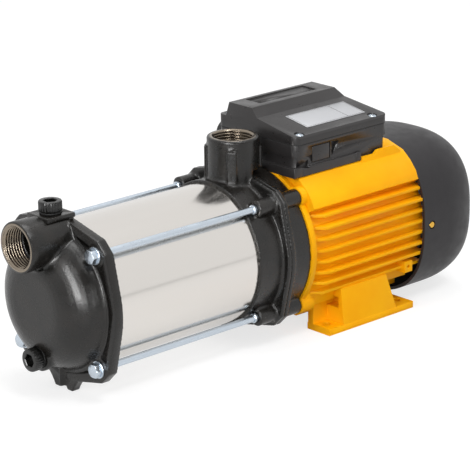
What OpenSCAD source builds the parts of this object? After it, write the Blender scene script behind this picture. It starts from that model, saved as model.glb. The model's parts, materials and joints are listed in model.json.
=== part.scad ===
// Horizontal multistage pump, close coupled to its electric motor.
// +X runs along the shaft from the suction end to the fan, and +Z is up.
// The origin is the centre of the four foot bolts, on the ground that the feet stand on.

/* [Stations along the shaft] */
// Height of the shaft above the ground
shaft_h = 71; // [70:0.5:80]
// Foot bolt centre to the front face of the motor
foot_to_motor_face = 67.6; // [66:0.2:72]
// Length of the motor bracket
bracket_len = 22.4; // [21:0.2:30]
// Length of the discharge casing
discharge_len = 27.8; // [27:0.2:34]
// Length of barrel that shows between the two casings
barrel_show_len = 140.7; // [130:0.1:200]
// Length of the motor housing
housing_len = 128.6; // [128:0.2:156]
// Number of pump stages
stages = 5; // [4:1:5]

/* [Barrel and tie rods] */
// Outer diameter of the barrel
barrel_d = 111.3; // [109:0.1:113]
// Wall of the barrel
barrel_wall = 1.5; // [1:0.1:2]
// Depth to which each casing holds the barrel
barrel_seat = 5; // [3:0.5:5.5]
// Diameter of a tie rod
rod_d = 5.4; // [5:0.1:6]
// Sideways and upward offset of each tie rod from the shaft
rod_offset = 43.7; // [43.4:0.1:44.6]
// Width across flats of a tie rod head
rod_head_af = 10; // [8:0.5:11]
// Height of a tie rod head
rod_head_h = 4.6; // [3:0.2:6]
// Thickness of the washer under a head
rod_washer_t = 1.4; // [1:0.1:2]

/* [Suction casing] */
// Thickness of the flange
suction_flange_t = 8; // [7:0.2:11]
// Radius of the round part of the flanges
flange_r = 63.4; // [62:0.1:65]
// Corner of a flange lobe, measured on its long side
lobe_far = 54.5; // [54:0.1:57]
// Corner of a flange lobe, measured on its short side
lobe_near = 45.6; // [45:0.1:48]
// Depth of the dome in front of the flange
dome_depth = 25; // [24:0.2:28]
// Radius of the dome's shoulder
dome_shoulder_r = 30.8; // [29:0.2:32]
// Radius of the flat face of the dome
dome_flat_r = 23.8; // [22:0.2:24]
// Wall of the cast casings
casing_wall = 5; // [4:0.2:6]
// Distance from the flange's round edge in to the suction port's axis
port_under = 15.6; // [15:0.2:17]
// How far the suction port stands in front of the dome
port_reach = 12.7; // [10:0.2:16]
// Outer radius of the suction port
port_r = 19.4; // [18.6:0.1:20.4]
// Radius of the crests of the port thread
port_bore_r = 15.15; // [14.6:0.05:15.6]
// Length of the port thread
port_thread_len = 20; // [16:0.5:21]
// Radius of the water way behind the threads
passage_r = 13; // [11:0.2:13.4]
// Chamfer at the mouth of a port
port_chamfer = 0.8; // [0.4:0.1:1.2]

/* [Plugs] */
// Radius of a plug's knob
plug_knob_r = 8.8; // [8.2:0.1:9.2]
// Height of a plug's knob
plug_knob_h = 8; // [7:0.2:10]
// Radius of the hole that a plug screws into
plug_bore_r = 5.75; // [5:0.05:6.2]
// Length of a plug's thread
plug_shank_len = 8.5; // [7:0.5:9]
// Thickness of the ring under a plug
plug_ring_t = 1.4; // [1:0.1:2]
// Width of the square pad under the priming plug
prime_pad_w = 24.6; // [23:0.2:26]
// Height of the pad above the round edge of the flange
prime_pad_over = 4.2; // [4:0.1:5.4]
// Distance from the flange's rear face to the priming plug
prime_back = 13.6; // [13:0.2:15]
// Depth of the drain plug below the shaft
drain_drop = 41; // [39:0.2:42]
// Radius of the boss around the drain plug
drain_boss_r = 10.4; // [9.6:0.1:11]

/* [Discharge casing] */
// Thickness of the flanges where casing and bracket meet
joint_flange_t = 4; // [3:0.2:5]
// Wall of the casing outside the barrel
discharge_rim = 2.2; // [1.8:0.1:3]
// Height of the outlet's face over the shaft
outlet_rise = 90.1; // [89:0.2:96]
// Distance from the bracket joint forward to the outlet's axis
outlet_back = 2.2; // [1.6:0.1:3]
// Outer radius of the outlet
outlet_r = 20.4; // [20:0.1:21]
// Width of a rib on the outlet
outlet_rib_w = 7; // [5:0.2:8]
// How far a rib stands out of the outlet
outlet_rib_out = 1.9; // [1.2:0.1:2.4]
// Radius of the bosses around the tie rods
rod_boss_r = 7; // [6.2:0.1:7.4]

/* [Pump stages] */
// Radius of an impeller
impeller_r = 44.5; // [40:0.5:45.5]
// Number of blades on an impeller
blades = 6; // [5:1:8]
// Number of vanes in a stage casing
vanes = 8; // [6:1:10]
// Radius of an impeller's eye
eye_r = 17.5; // [16:0.5:18]
// Wall of the stage parts
stage_wall = 1.6; // [1.2:0.1:2]

/* [Shaft and bearings] */
// Radius of the shaft in the pump
shaft_r = 6; // [5.5:0.1:6.4]
// Radius of the shaft in the front bearing
front_journal_r = 8.5; // [8.2:0.1:8.8]
// Radius of the shaft in the rear bearing
rear_journal_r = 7.5; // [7.2:0.1:7.8]
// Radius of the shaft in the rotor core
core_seat_r = 11; // [10:0.1:12]
// Outer radius of the front bearing
front_bearing_r = 20; // [19:0.5:21]
// Width of the front bearing
front_bearing_w = 12; // [11:0.5:13]
// Outer radius of the rear bearing
rear_bearing_r = 17.5; // [17:0.5:18]
// Width of the rear bearing
rear_bearing_w = 11; // [10:0.5:12]

/* [Motor] */
// Outer radius of the round housing shell
shell_r = 58; // [57.4:0.1:58.4]
// Wall of the housing shell
shell_wall = 6; // [5.6:0.1:6.4]
// Height of the terminal box seat over the shaft
box_seat_rise = 58; // [57.6:0.1:59]
// Length of the stator core
core_len = 54; // [40:1:58]
// Radius of the rotor core
rotor_r = 30; // [27:0.5:31]
// Gap between rotor and stator
air_gap = 0.4; // [0.3:0.05:0.8]
// Number of stator slots
slots = 24; // [12:6:24]
// Number of cooling fins on each side
fins = 8; // [6:1:8]
// Distance from fin to fin
fin_pitch = 9.1; // [8.6:0.1:9.2]
// Thickness of a fin
fin_t = 2.2; // [1.8:0.1:2.6]
// Farthest reach of the side fins
fin_reach = 63.6; // [62:0.2:64.4]

/* [Feet] */
// Length of a foot
foot_len = 95.6; // [94:0.2:100]
// Overall width over both feet
foot_span = 123; // [122:0.5:126]
// Width of one foot
foot_w = 25; // [24:0.5:26]
// Thickness of the foot's pad
foot_t = 5.5; // [5:0.5:7]
// Foot bolt spacing along the shaft
foot_bolt_x = 80; // [78:0.5:82]
// Foot bolt spacing across the shaft
foot_bolt_y = 100; // [98:0.5:102]
// Radius of a foot bolt hole
foot_hole_r = 3.5; // [3:0.1:4]

/* [Fan cover] */
// Length of the fan cover
cover_len = 68; // [66:0.5:78]
// How far the fan cover stands out of the round shell
cover_reach = 8; // [7.4:0.1:8.8]
// Wall of the fan cover
cover_wall = 2.4; // [2:0.1:2.6]
// Fan cover centre below the shaft
cover_drop = 3.2; // [2.8:0.1:3.4]
// Radius of the cooling fan
fan_r = 48; // [44:0.5:50]

/* [Terminal box] */
// Length of the terminal box
box_len = 102.4; // [101:0.2:106]
// Width of the terminal box
box_w = 89; // [87:0.5:90]
// Distance from the shaft's line to the near side of the box
box_near = 41.5; // [41:0.1:42]
// Front end of the box ahead of the foot bolt centre
box_front = 65; // [64:0.2:66]
// Height of the box base
box_base_h = 25; // [24.5:0.5:30]
// Height of the lid at its near edge
lid_edge_h = 6.2; // [6:0.1:8]
// Height of the lid at the foot of its step
lid_slope_h = 13.4; // [13:0.1:15]
// Height of the lid at its raised top
lid_top_h = 20; // [19:0.1:24]
// Wall of the box
box_wall = 2.8; // [2.4:0.1:3]
// Radius of the upright corners
box_corner_r = 6; // [5:0.2:7]
// Radius of the capacitor
cap_r = 15; // [12:0.5:15.5]

/* [Hidden] */
$fn = 64;

// Overrun of a cut past the face that it opens, and of a boss into what it stands on
over = 1;
// Gap between fitted pieces that don't move on each other
fit = 0.05;
// Running gap between turning and fixed pieces
run = 0.3;
// Running gap of a plug in its threaded hole
thread_run = 0.07;
// Gap around a bolt in its clearance hole
bolt_gap = 0.3;
signs = [-1, 1];

// Places along the shaft
motor_face_x = -foot_to_motor_face;
bracket_x = motor_face_x - bracket_len;
discharge_x = bracket_x - discharge_len;
suction_seat_x = discharge_x - barrel_show_len;
suction_front_x = suction_seat_x - suction_flange_t;
dome_x = suction_front_x - dome_depth;
port_x = dome_x - port_reach;
housing_end_x = motor_face_x + housing_len;

// Barrel, spigots and barrel seals
barrel_r = barrel_d / 2;
barrel_in_r = barrel_r - barrel_wall;
spigot_r = barrel_in_r - fit;
spigot_in_r = spigot_r - casing_wall;
spigot_len = 10;
barrel_seal_t = 1.2;
seal_groove_w = 3.4;
seal_inset = 4.5;
seal_groove_r = barrel_in_r - 2 * barrel_seal_t - fit;

// Tie rods
rod_r = rod_d / 2;
rod_seat_t = 0.6;
rod_bite = 10;
rod_washer_r = 6.6;
rod_collar_r = 3.8;
rod_collar_len = 3;
rod_head_x = suction_front_x - rod_seat_t - rod_washer_t;

// Suction casing
dome_mid_x = dome_x + dome_shoulder_r;
dome_steps = 10;
port_lip = 1;
lug_inset = 0.5;
lug_t = 7;
lug_top_w = 20;
lug_top_drop = 57;
lug_toe_w = 10.4;
lug_toe_bevel = 1.6;
lug_notch_w = 2.8;
lug_notch_h = 2;
lug_rib_t = 2.4;
lug_rib_out = 3;
lug_rib_h = 20;
prime_x = suction_seat_x - prime_back;
port_rise = flange_r - port_under;
prime_pad_rise = port_under + prime_pad_over;
drain_face_back = 3.7;
drain_face_x = dome_x + drain_face_back;
drain_face_gap = 0.6;

// Plugs
plug_shank_r = plug_bore_r - thread_run;
plug_socket_r = 4.6;
plug_socket_depth = 5;
plug_ring_r = 8.2;
plug_ring_gap = 0.2;

// Discharge casing
discharge_r = barrel_r + discharge_rim;
rod_boss_back = 7;
rod_boss_x = discharge_x + rod_boss_back;
chamber_wall_t = 5;
chamber_wall_back = 2;
chamber_end_x = bracket_x - chamber_wall_back - chamber_wall_t;
leak_recess_r = 30;
outlet_x = bracket_x - outlet_back;
outlet_floor = 64.6;
outlet_root = 44;
outlet_link_r = 7;
outlet_link_back = 9;
outlet_rib_top = 7.6;

// Stages, measured from the front of each stage
stack_x = suction_seat_x + spigot_len;
stack_len = barrel_show_len - 2 * spigot_len;
stage_len = stack_len / stages;
stage_clear = 0.6;
stage_r = barrel_in_r - stage_clear;
stage_side = 2.6;
stage_in_r = stage_r - stage_side;
impeller_start_share = 0.27;
impeller_len_share = 0.39;
impeller_x = stage_len * impeller_start_share;
impeller_len = stage_len * impeller_len_share;
plate_gap = 1;
plate_x = impeller_x + impeller_len + plate_gap;
eye_wall = 2;
wear_ring_r = 22.4;
wear_ring_len = 4;
hub_r = 9.4;
spacer_r = 8.4;
blade_t = 1.6;
blade_sweep = 60;
vane_sweep = -48;
vane_in_r = 14;
blade_steps = 6;
neck_front = 0.6;
nut_len = 7;
nut_af = 19;
shaft_nose = 3;

// Shaft seal
seal_gap = 0.1;
seal_seat_r = 14;
seal_seat_in_r = 7;
seal_seat_lip = 1.4;
seal_seat_lip_r = 12.6;
seal_head_r = 12;
seal_head_len = 15;
seal_collar_len = 5;
seal_neck_r = 9.6;
seal_seat_x = chamber_end_x - seal_seat_lip;
seal_head_x = seal_seat_x - seal_gap - seal_head_len;

// Bracket, bearings and shaft steps
bracket_r = 60.9;
bracket_web_t = 6;
bracket_hub_wall = 4.5;
bracket_cavity_r = 47;
bracket_lip = 5;
shaft_hole_gap = 1.5;
slinger_pocket_r = 18;
slinger_pocket_t = 3;
slinger_r = 16;
slinger_t = 2;
slinger_front = 0.6;
journal_step = 1.4;
front_bearing_x = bracket_x + bracket_web_t;
rear_bearing_back = 17;
rear_bearing_x = housing_end_x - rear_bearing_back;
bearing_ring_share = 0.27;
ball_share = 0.22;
bearing_balls = 8;
core_front = 26;
core_x = motor_face_x + core_front;
core_step = 2;
shaft_tail = 38;
fan_seat_r = 6;

// Housing
shell_in_r = shell_r - shell_wall;
face_flange_step = 1;
face_flange_r = flange_r - face_flange_step;
face_flange_t = 5;
rod_lobe_r = 8;
rod_lobe_len = 13;
fin_front = 5.6;
fin_ramp = 10;
fin_first = 28.8;
fin_corner_r = 67;
under_fins = 7;
under_fin_pitch = 9;
under_fin_reach = 63;
hump_start = 5.6;
hump_shares = [[1.01, 0.62], [0.96, 0.74], [0.855, 0.866], [0.71, 0.986], [0.42, 1.075], [0, 1.095]];
box_seat_end = 1.4;
seat_lip_t = 1.6;
seat_lip_gap = 0.9;
seat_lip_low = 2.8;
seat_lip_high = 5.4;
seat_lip_root = 5;
seat_lip_xs = [6.6, 19.8, 23.2, 42.6, 50.3];
wire_hole_r = 8;
earth_back = 22.4;
earth_w = 8.6;
earth_h = 9;
earth_out = 60.6;
earth_drop = 35;
earth_hole_r = 1.65;
earth_hole_len = 8;
rail_in = 38;
rail_out = 50;
rail_drop = 46;
rail_mid = (rail_in + rail_out) / 2;
rail_z = shaft_h - rail_drop;
rail_front = 62;
rail_rear = 50;

// Feet
foot_out = foot_span / 2;
foot_in = foot_out - foot_w;
foot_block_front = 32;
foot_block_rear = 27.8;
foot_block_lean = 9;
foot_block_tilt = 3;
foot_block_top = shaft_h + fin_first - (fins - 1) * fin_pitch - fin_t / 2 - fit;
foot_web_t = 6;
foot_web_in = 0.6;
foot_pocket_depth = 9;
foot_pocket_w = 14;
foot_pocket_h = 9;
foot_pocket_z = 18;
foot_pocket_out = 6;
foot_screw_r = 3;
foot_screw_x = 9;
foot_screw_mid = -6;
foot_screw_head_r = 5;
foot_screw_head_h = 5;
foot_screw_sink = 7;
foot_screw_bite = 7;

// Rear shield, fan and cover
shield_t = 3.5;
shield_lip = 6;
shield_lip_t = 4;
shield_hub_wall = 4;
shield_hub_front = 1.5;
shield_hub_x = rear_bearing_x - shield_hub_front;
shield_screw_r = 2;
shield_screw_at = 54.6;
shield_screw_bite = 9;
shield_screw_head_r = 3.4;
shield_screw_head_h = 3;
shield_arm_w = 11;
shield_arm_len = 12;
shield_arm_gap = 1.5;
shield_arm_in = fan_r + shield_arm_gap;
shield_arm_tip = 0.3;
fan_start = 11;
fan_len = 24;
fan_hub_r = 11;
fan_disc_t = 2;
fan_blades = 9;
fan_blade_t = 2;
fan_ring_r = 9;
fan_ring_t = 1.2;
fan_x = housing_end_x + fan_start;
shaft_end_x = housing_end_x + shaft_tail;
cover_gap = 0.5;
cover_lap = 5.5;
cover_step_gap = 0.4;
cover_half_w = shell_r + cover_reach;
cover_in_half_w = cover_half_w - cover_wall;
cover_x = housing_end_x - cover_lap;
cover_step_x = cover_x - cover_gap;
cover_end_x = cover_x + cover_len;
cover_power = 2.55;
cover_sides = 48;
cover_straight_share = 0.42;
cover_end_share = 0.76;
cover_steps = 5;
cover_screw_back = 8.9;
cover_screw_x = cover_x + cover_screw_back;
cover_screw_r = 1.75;
cover_screw_head_r = 2.5;
cover_screw_head_h = 1.2;
cover_screw_bite = 6;
vent_r = 38;
vent_pitch = 6.4;
vent_w = 3.2;
vent_rows = 5;
vent_spine = 3;

// Stator and rotor
core_fit_r = shell_in_r - fit;
slot_in_gap = 2.2;
slot_depth = 10.5;
slot_w = 4;
coil_gap = 0.2;
coil_end_len = 12;
coil_end_r = 46;
rotor_ring_len = 5;
rotor_ring_in = 12;

// Terminal box
box_x = -box_front;
box_mid_x = box_x + box_len / 2;
box_far = box_w - box_near;
box_mid_y = (box_far - box_near) / 2;
box_z = shaft_h + box_seat_rise;
gasket_t = 0.8;
gasket_w = 2;
lid_z = box_z + box_base_h + gasket_t;
lid_hang = 0.2;
base_inset = 1;
base_band_h = 9.5;
base_floor_t = 3;
ledge_out = 0.4;
ledge_front = 2;
ledge_len = 73;
ledge_h = 7.2;
knock_x = -43;
knock_w = 16;
knock_z = 9;
knock_h = 11.5;
knock_groove = 0.6;
lid_bevel = 1.6;
lid_slope_y = 3.5;
lid_step_y = 10.9;
lid_far_y = 37;
lid_far_foot_y = 38.4;
lid_far_h = 9.4;
lid_end_lean = 3;
lid_rear_lean = 8;
lid_panel_in = 14.4;
lid_panel_near = 5.6;
lid_panel_far = 3.6;
lid_panel_depth = 0.7;
lid_screw_in = 9;
lid_screw_rear_in = 13;
lid_screw_xs = [box_x + lid_screw_in, box_x + box_len - lid_screw_rear_in];
lid_screw_side = 5.4;
lid_screw_ys = [lid_screw_side - box_near, box_far - lid_screw_side];
lid_screw_r = 2;
lid_screw_len = 16;
lid_screw_head_r = 3.7;
lid_screw_head_h = 2.4;
lid_screw_proud = 0.5;
pillar_r = 4.4;
plate_start = 24;
plate_len = 64;
plate_w = 25;
plate_t = 0.4;
plate_side = 10.2;
block_len = 42;
block_w = 20;
block_h = 12;
block_side = 11;
block_studs = 6;
stud_r = 2;
stud_h = 5;
block_back = 14;
cap_len = 58;
cap_y = 13;
gland_x = -42;
gland_rise = 13;
gland_pad_w = 26;
gland_thread_r = 8;
gland_bore_r = 5;
gland_af = 20;
gland_hex_len = 6;
gland_nut_r = 10;
gland_nut_len = 11;
gland_tail = 5;

function arc(mid, r, from, to, steps) =
    [for (i = [0:steps]) let (a = from + (to - from) * i / steps) mid + r * [cos(a), sin(a)]];

function hex_r(across_flats) = across_flats / 2 / cos(180 / 6);

// Moves pieces from the shaft's axis to its real height
module at_shaft() {
    translate([0, 0, shaft_h]) children();
}

// Repeats pieces on the axes of the four tie rods
module at_rods() {
    for (side = signs, up = signs) translate([0, side * rod_offset, up * rod_offset]) children();
}

// Round bar along the shaft
module rod_x(x, len, r, y = 0, z = 0) {
    translate([x, y, z]) rotate([0, 90, 0]) cylinder(h = len, r = r);
}

// Round ring along the shaft
module ring_x(x, len, r_out, r_in) {
    difference() {
        rod_x(x, len, r_out);
        rod_x(x - over, len + 2 * over, r_in);
    }
}

// Solid of revolution about the shaft, from points of radius and station
module turned_x(points) {
    rotate([0, 90, 0]) rotate_extrude() polygon(points);
}

// Flat section, seen along the shaft, drawn out to a thickness
module plate_along_x(x, t) {
    translate([x, 0, 0]) rotate([90, 0, 90]) linear_extrude(t) children();
}

// Section of a flange that reaches out to the four tie rods
module lobed_section() {
    hull() {
        circle(flange_r);
        for (side = signs, up = signs) {
            polygon([[0, 0], [side * lobe_near, up * lobe_far], [side * lobe_far, up * lobe_near]]);
        }
    }
}

// Groove on a spigot, and the round ring that lies in it
module seal_groove(x) {
    ring_x(x - seal_groove_w / 2, seal_groove_w, barrel_r, seal_groove_r);
}

module barrel_seal(x) {
    color("black") at_shaft() translate([x, 0, 0]) rotate([0, 90, 0]) rotate_extrude()
        translate([barrel_in_r - barrel_seal_t - fit / 2, 0]) circle(barrel_seal_t);
}

// Slot that holds one end of the barrel
module barrel_slot(x, len) {
    ring_x(x, len, barrel_r + fit, spigot_r);
}

module suction_lug() {
    plate_along_x(suction_front_x + lug_inset, lug_t) polygon([
        [-lug_top_w, -lug_top_drop], [-lug_toe_w - lug_toe_bevel, lug_toe_bevel * 2 - shaft_h],
        [-lug_toe_w, -shaft_h], [-lug_notch_w - lug_toe_bevel, -shaft_h],
        [-lug_notch_w, lug_notch_h - shaft_h], [lug_notch_w, lug_notch_h - shaft_h],
        [lug_notch_w + lug_toe_bevel, -shaft_h], [lug_toe_w, -shaft_h],
        [lug_toe_w + lug_toe_bevel, lug_toe_bevel * 2 - shaft_h], [lug_top_w, -lug_top_drop]
    ]);
    translate([suction_front_x - lug_rib_out, -lug_rib_t / 2, lug_notch_h - shaft_h])
        cube([lug_rib_out + lug_inset + over, lug_rib_t, lug_rib_h]);
}

module suction_casing() {
    color("dimgray") at_shaft() difference() {
        union() {
            plate_along_x(suction_front_x, suction_flange_t) lobed_section();
            dome(dome_shoulder_r, over);
            rod_x(port_x, suction_seat_x - port_x, port_r - port_lip, 0, port_rise);
            rod_x(port_x + port_lip, suction_seat_x - port_x - port_lip, port_r, 0, port_rise);
            translate([prime_x - prime_pad_w / 2, -prime_pad_w / 2, port_rise])
                cube([prime_pad_w / 2 + prime_back, prime_pad_w, prime_pad_rise]);
            rod_x(drain_face_x, suction_front_x - drain_face_x + over, drain_boss_r, 0, -drain_drop);
            rod_x(suction_seat_x - over, spigot_len + over, spigot_r);
            at_rods() rod_x(suction_front_x - rod_seat_t, rod_seat_t + over, rod_boss_r);
            suction_lug();
        }
        difference() {
            dome(dome_shoulder_r - casing_wall, 0);
            rod_x(dome_x, suction_front_x - dome_x, drain_boss_r, 0, -drain_drop);
        }
        rod_x(dome_x - over, drain_face_x - dome_x + over, plug_knob_r + drain_face_gap, 0, -drain_drop);
        rod_x(suction_front_x - over, suction_flange_t + spigot_len + 2 * over, spigot_in_r);
        barrel_slot(suction_seat_x - barrel_seat, barrel_seat);
        seal_groove(stack_x - seal_inset);
        rod_x(port_x - over, port_thread_len + over, port_bore_r, 0, port_rise);
        rod_x(port_x, suction_front_x - port_x, passage_r, 0, port_rise);
        translate([port_x, 0, port_rise]) rotate([0, 90, 0])
            cylinder(h = port_chamfer, r1 = port_bore_r + port_chamfer, r2 = port_bore_r);
        translate([prime_x, 0, port_rise]) cylinder(h = prime_pad_rise + over, r = plug_bore_r);
        rod_x(drain_face_x - over, suction_front_x - drain_face_x + over, plug_bore_r, 0, -drain_drop);
        at_rods() rod_x(suction_front_x - 2 * over, suction_flange_t + 3 * over, rod_r + bolt_gap);
    }
}

// Dome of the suction casing, or the hollow in it, with its shoulder at the given radius
module dome(r, extra) {
    end = asin((suction_front_x - dome_mid_x) / r);
    rim = arc([dome_flat_r, dome_mid_x], r, -90, end, dome_steps);
    turned_x(concat([[0, dome_mid_x - r]], rim,
        [[dome_flat_r + r * cos(end), suction_front_x + extra], [0, suction_front_x + extra]]));
}

// Threaded plug with a six-sided socket, its knob's underside at the origin
module plug() {
    difference() {
        union() {
            cylinder(h = plug_knob_h, r = plug_knob_r);
            translate([0, 0, -plug_shank_len]) cylinder(h = plug_shank_len + over, r = plug_shank_r);
        }
        translate([0, 0, plug_knob_h - plug_socket_depth])
            cylinder(h = plug_socket_depth + over, r = plug_socket_r, $fn = 6);
    }
}

// Flat ring that seals a plug on its boss
module plug_ring() {
    difference() {
        cylinder(h = plug_ring_t, r = plug_ring_r);
        translate([0, 0, -over]) cylinder(h = plug_ring_t + 2 * over, r = plug_bore_r + plug_ring_gap);
    }
}

module at_prime() {
    at_shaft() translate([prime_x, 0, port_rise + prime_pad_rise]) children();
}

module at_drain() {
    at_shaft() translate([drain_face_x, 0, -drain_drop]) rotate([0, -90, 0]) children();
}

module priming_plug() {
    color("black") at_prime() translate([0, 0, plug_ring_t]) plug();
}

module priming_ring() {
    color("black") at_prime() plug_ring();
}

module drain_plug() {
    color("black") at_drain() translate([0, 0, plug_ring_t]) plug();
}

module drain_ring() {
    color("black") at_drain() plug_ring();
}

module barrel() {
    color("gainsboro") at_shaft()
        ring_x(suction_seat_x - barrel_seat, barrel_show_len + 2 * barrel_seat, barrel_r, barrel_in_r);
}

module front_barrel_seal() {
    barrel_seal(stack_x - seal_inset);
}

module rear_barrel_seal() {
    barrel_seal(stack_x + stack_len + seal_inset);
}

module tie_rods() {
    color("lightsteelblue") at_shaft() at_rods() {
        rod_x(rod_head_x - over, motor_face_x + rod_bite - rod_head_x + over, rod_r);
        translate([rod_head_x - rod_head_h, 0, 0]) rotate([0, 90, 0])
            cylinder(h = rod_head_h, r = hex_r(rod_head_af), $fn = 6);
    }
}

module tie_rod_washers() {
    color("silver") at_shaft() at_rods() {
        ring_x(rod_head_x, rod_washer_t, rod_washer_r, rod_r + fit);
        ring_x(rod_boss_x - rod_collar_len, rod_collar_len, rod_collar_r, rod_r + fit);
    }
}

// Upright outlet, kept clear of the bracket behind the joint
module outlet_body() {
    difference() {
        union() {
            translate([outlet_x, 0, outlet_root])
                cylinder(h = outlet_rise - outlet_root - port_lip, r = outlet_r);
            translate([outlet_x, 0, outlet_root])
                cylinder(h = outlet_rise - outlet_root, r = outlet_r - port_lip);
            for (turn = [45:90:315]) translate([outlet_x, 0, outlet_root]) rotate([0, 0, turn])
                translate([0, -outlet_rib_w / 2, 0])
                    cube([outlet_r + outlet_rib_out, outlet_rib_w,
                        outlet_rise - outlet_root - outlet_rib_top]);
        }
        translate([bracket_x, -discharge_r, 0]) cube([discharge_r, 2 * discharge_r, outlet_floor]);
    }
}

module discharge_casing() {
    color("dimgray") at_shaft() difference() {
        union() {
            rod_x(discharge_x, discharge_len, discharge_r);
            plate_along_x(bracket_x - joint_flange_t, joint_flange_t) lobed_section();
            at_rods() rod_x(rod_boss_x, bracket_x - rod_boss_x, rod_boss_r);
            rod_x(discharge_x - spigot_len, spigot_len + over, spigot_r);
            outlet_body();
        }
        rod_x(discharge_x - spigot_len - over, chamber_end_x - discharge_x + spigot_len + over, spigot_in_r);
        rod_x(chamber_end_x - over, chamber_wall_t + 2 * over, seal_seat_r + fit);
        rod_x(bracket_x - chamber_wall_back, chamber_wall_back + over, leak_recess_r);
        barrel_slot(discharge_x - over, barrel_seat + over);
        seal_groove(stack_x + stack_len + seal_inset);
        at_rods() rod_x(discharge_x, discharge_len + over, rod_r + bolt_gap);
        translate([outlet_x, 0, outlet_rise - port_thread_len])
            cylinder(h = port_thread_len + over, r = port_bore_r);
        translate([outlet_x, 0, outlet_rise - port_chamfer])
            cylinder(h = port_chamfer, r1 = port_bore_r, r2 = port_bore_r + port_chamfer);
        translate([outlet_x - outlet_link_back, 0, 0])
            cylinder(h = outlet_rise - port_thread_len + over, r = outlet_link_r);
    }
}

module motor_bracket() {
    color("dimgray") at_shaft() difference() {
        union() {
            plate_along_x(bracket_x, joint_flange_t) lobed_section();
            rod_x(bracket_x, bracket_len, bracket_r);
            at_rods() rod_x(bracket_x, bracket_len, rod_boss_r);
            rod_x(motor_face_x - over, bracket_lip + over, core_fit_r);
        }
        difference() {
            rod_x(bracket_x + joint_flange_t, bracket_len + bracket_lip, bracket_cavity_r);
            rod_x(bracket_x, bracket_web_t + front_bearing_w, front_bearing_r + bracket_hub_wall);
        }
        rod_x(front_bearing_x, front_bearing_w + over, front_bearing_r + fit);
        rod_x(bracket_x - over, bracket_len, front_journal_r + shaft_hole_gap);
        rod_x(bracket_x - over, slinger_pocket_t + over, slinger_pocket_r);
        at_rods() rod_x(bracket_x - over, bracket_len + 2 * over, rod_r + bolt_gap);
    }
}

// Curved vane seen along the shaft, from one radius out to another
module vane_section(r_in, r_out, t, sweep) {
    outer = [for (i = [0:blade_steps]) let (s = i / blade_steps, r = r_in + (r_out - r_in) * s,
        a = sweep * s) [r * cos(a) - t / 2 * sin(a), r * sin(a) + t / 2 * cos(a)]];
    inner = [for (i = [blade_steps:-1:0]) let (s = i / blade_steps, r = r_in + (r_out - r_in) * s,
        a = sweep * s) [r * cos(a) + t / 2 * sin(a), r * sin(a) - t / 2 * cos(a)]];
    polygon(concat(outer, inner));
}

// Fixed casing of one stage: front wall, rim, plate behind the impeller and return vanes
module stage_casing(index) {
    x = stack_x + (index - 1) * stage_len;
    color("silver") at_shaft() {
        ring_x(x, stage_len, stage_r, stage_in_r);
        ring_x(x, stage_wall, stage_in_r + fit, eye_r + eye_wall + run);
        ring_x(x, wear_ring_len, wear_ring_r, eye_r + eye_wall + run);
        ring_x(x + plate_x, stage_wall, impeller_r + stage_wall, spacer_r + run);
        for (i = [0:vanes - 1]) rotate([i * 360 / vanes, 0, 0])
            plate_along_x(x + plate_x, stage_len - plate_x)
                vane_section(vane_in_r, stage_in_r + fit, stage_wall, vane_sweep);
    }
}

// Closed impeller of one stage
module impeller(index) {
    x = stack_x + (index - 1) * stage_len;
    color("tan") at_shaft() {
        ring_x(x + neck_front, impeller_x - neck_front + stage_wall, eye_r + eye_wall, eye_r);
        ring_x(x + impeller_x, stage_wall, impeller_r, eye_r);
        ring_x(x + impeller_x + impeller_len - stage_wall, stage_wall, impeller_r, shaft_r + fit);
        ring_x(x + impeller_x, impeller_len, hub_r, shaft_r + fit);
        for (i = [0:blades - 1]) rotate([i * 360 / blades, 0, 0])
            plate_along_x(x + impeller_x + stage_wall / 2, impeller_len - stage_wall)
                vane_section(hub_r - fit, impeller_r - fit, blade_t, blade_sweep);
    }
}

// Sleeves that keep the impellers apart, the last one reaching the shaft seal
module impeller_spacers() {
    color("silver") at_shaft() for (i = [1:stages]) {
        x = stack_x + (i - 1) * stage_len + impeller_x + impeller_len;
        end = i < stages ? x + stage_len - impeller_len : seal_head_x;
        ring_x(x + fit, end - x - 2 * fit, spacer_r, shaft_r + fit);
    }
}

module impeller_nut() {
    color("silver") at_shaft() difference() {
        translate([stack_x + impeller_x - nut_len, 0, 0]) rotate([0, 90, 0])
            cylinder(h = nut_len, r = hex_r(nut_af), $fn = 6);
        rod_x(stack_x + impeller_x - nut_len - over, nut_len + 2 * over, shaft_r + fit);
    }
}

module shaft() {
    front = stack_x + impeller_x - nut_len - shaft_nose;
    step = bracket_x - journal_step;
    shoulder = front_bearing_x + front_bearing_w;
    color("silver") at_shaft() turned_x([
        [0, front], [shaft_r, front], [shaft_r, step], [front_journal_r, step],
        [front_journal_r, shoulder], [core_seat_r, shoulder], [core_seat_r, rear_bearing_x],
        [rear_journal_r, rear_bearing_x], [rear_journal_r, rear_bearing_x + rear_bearing_w],
        [fan_seat_r, rear_bearing_x + rear_bearing_w], [fan_seat_r, shaft_end_x], [0, shaft_end_x]
    ]);
}

module seal_seat() {
    color("lightgray") at_shaft() difference() {
        union() {
            rod_x(seal_seat_x, chamber_wall_t + seal_seat_lip, seal_seat_lip_r);
            rod_x(chamber_end_x, chamber_wall_t, seal_seat_r);
        }
        rod_x(seal_seat_x - over, chamber_wall_t + seal_seat_lip + 2 * over, seal_seat_in_r);
    }
}

module seal_head() {
    color("darkgray") at_shaft() difference() {
        union() {
            rod_x(seal_head_x, seal_collar_len, seal_head_r);
            rod_x(seal_head_x, seal_head_len, seal_neck_r);
            rod_x(seal_head_x + seal_head_len - seal_collar_len, seal_collar_len, seal_head_r);
        }
        rod_x(seal_head_x - over, seal_head_len + 2 * over, shaft_r + fit);
    }
}

module slinger() {
    color("black") at_shaft()
        ring_x(bracket_x + slinger_front, slinger_t, slinger_r, front_journal_r + fit);
}

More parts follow.
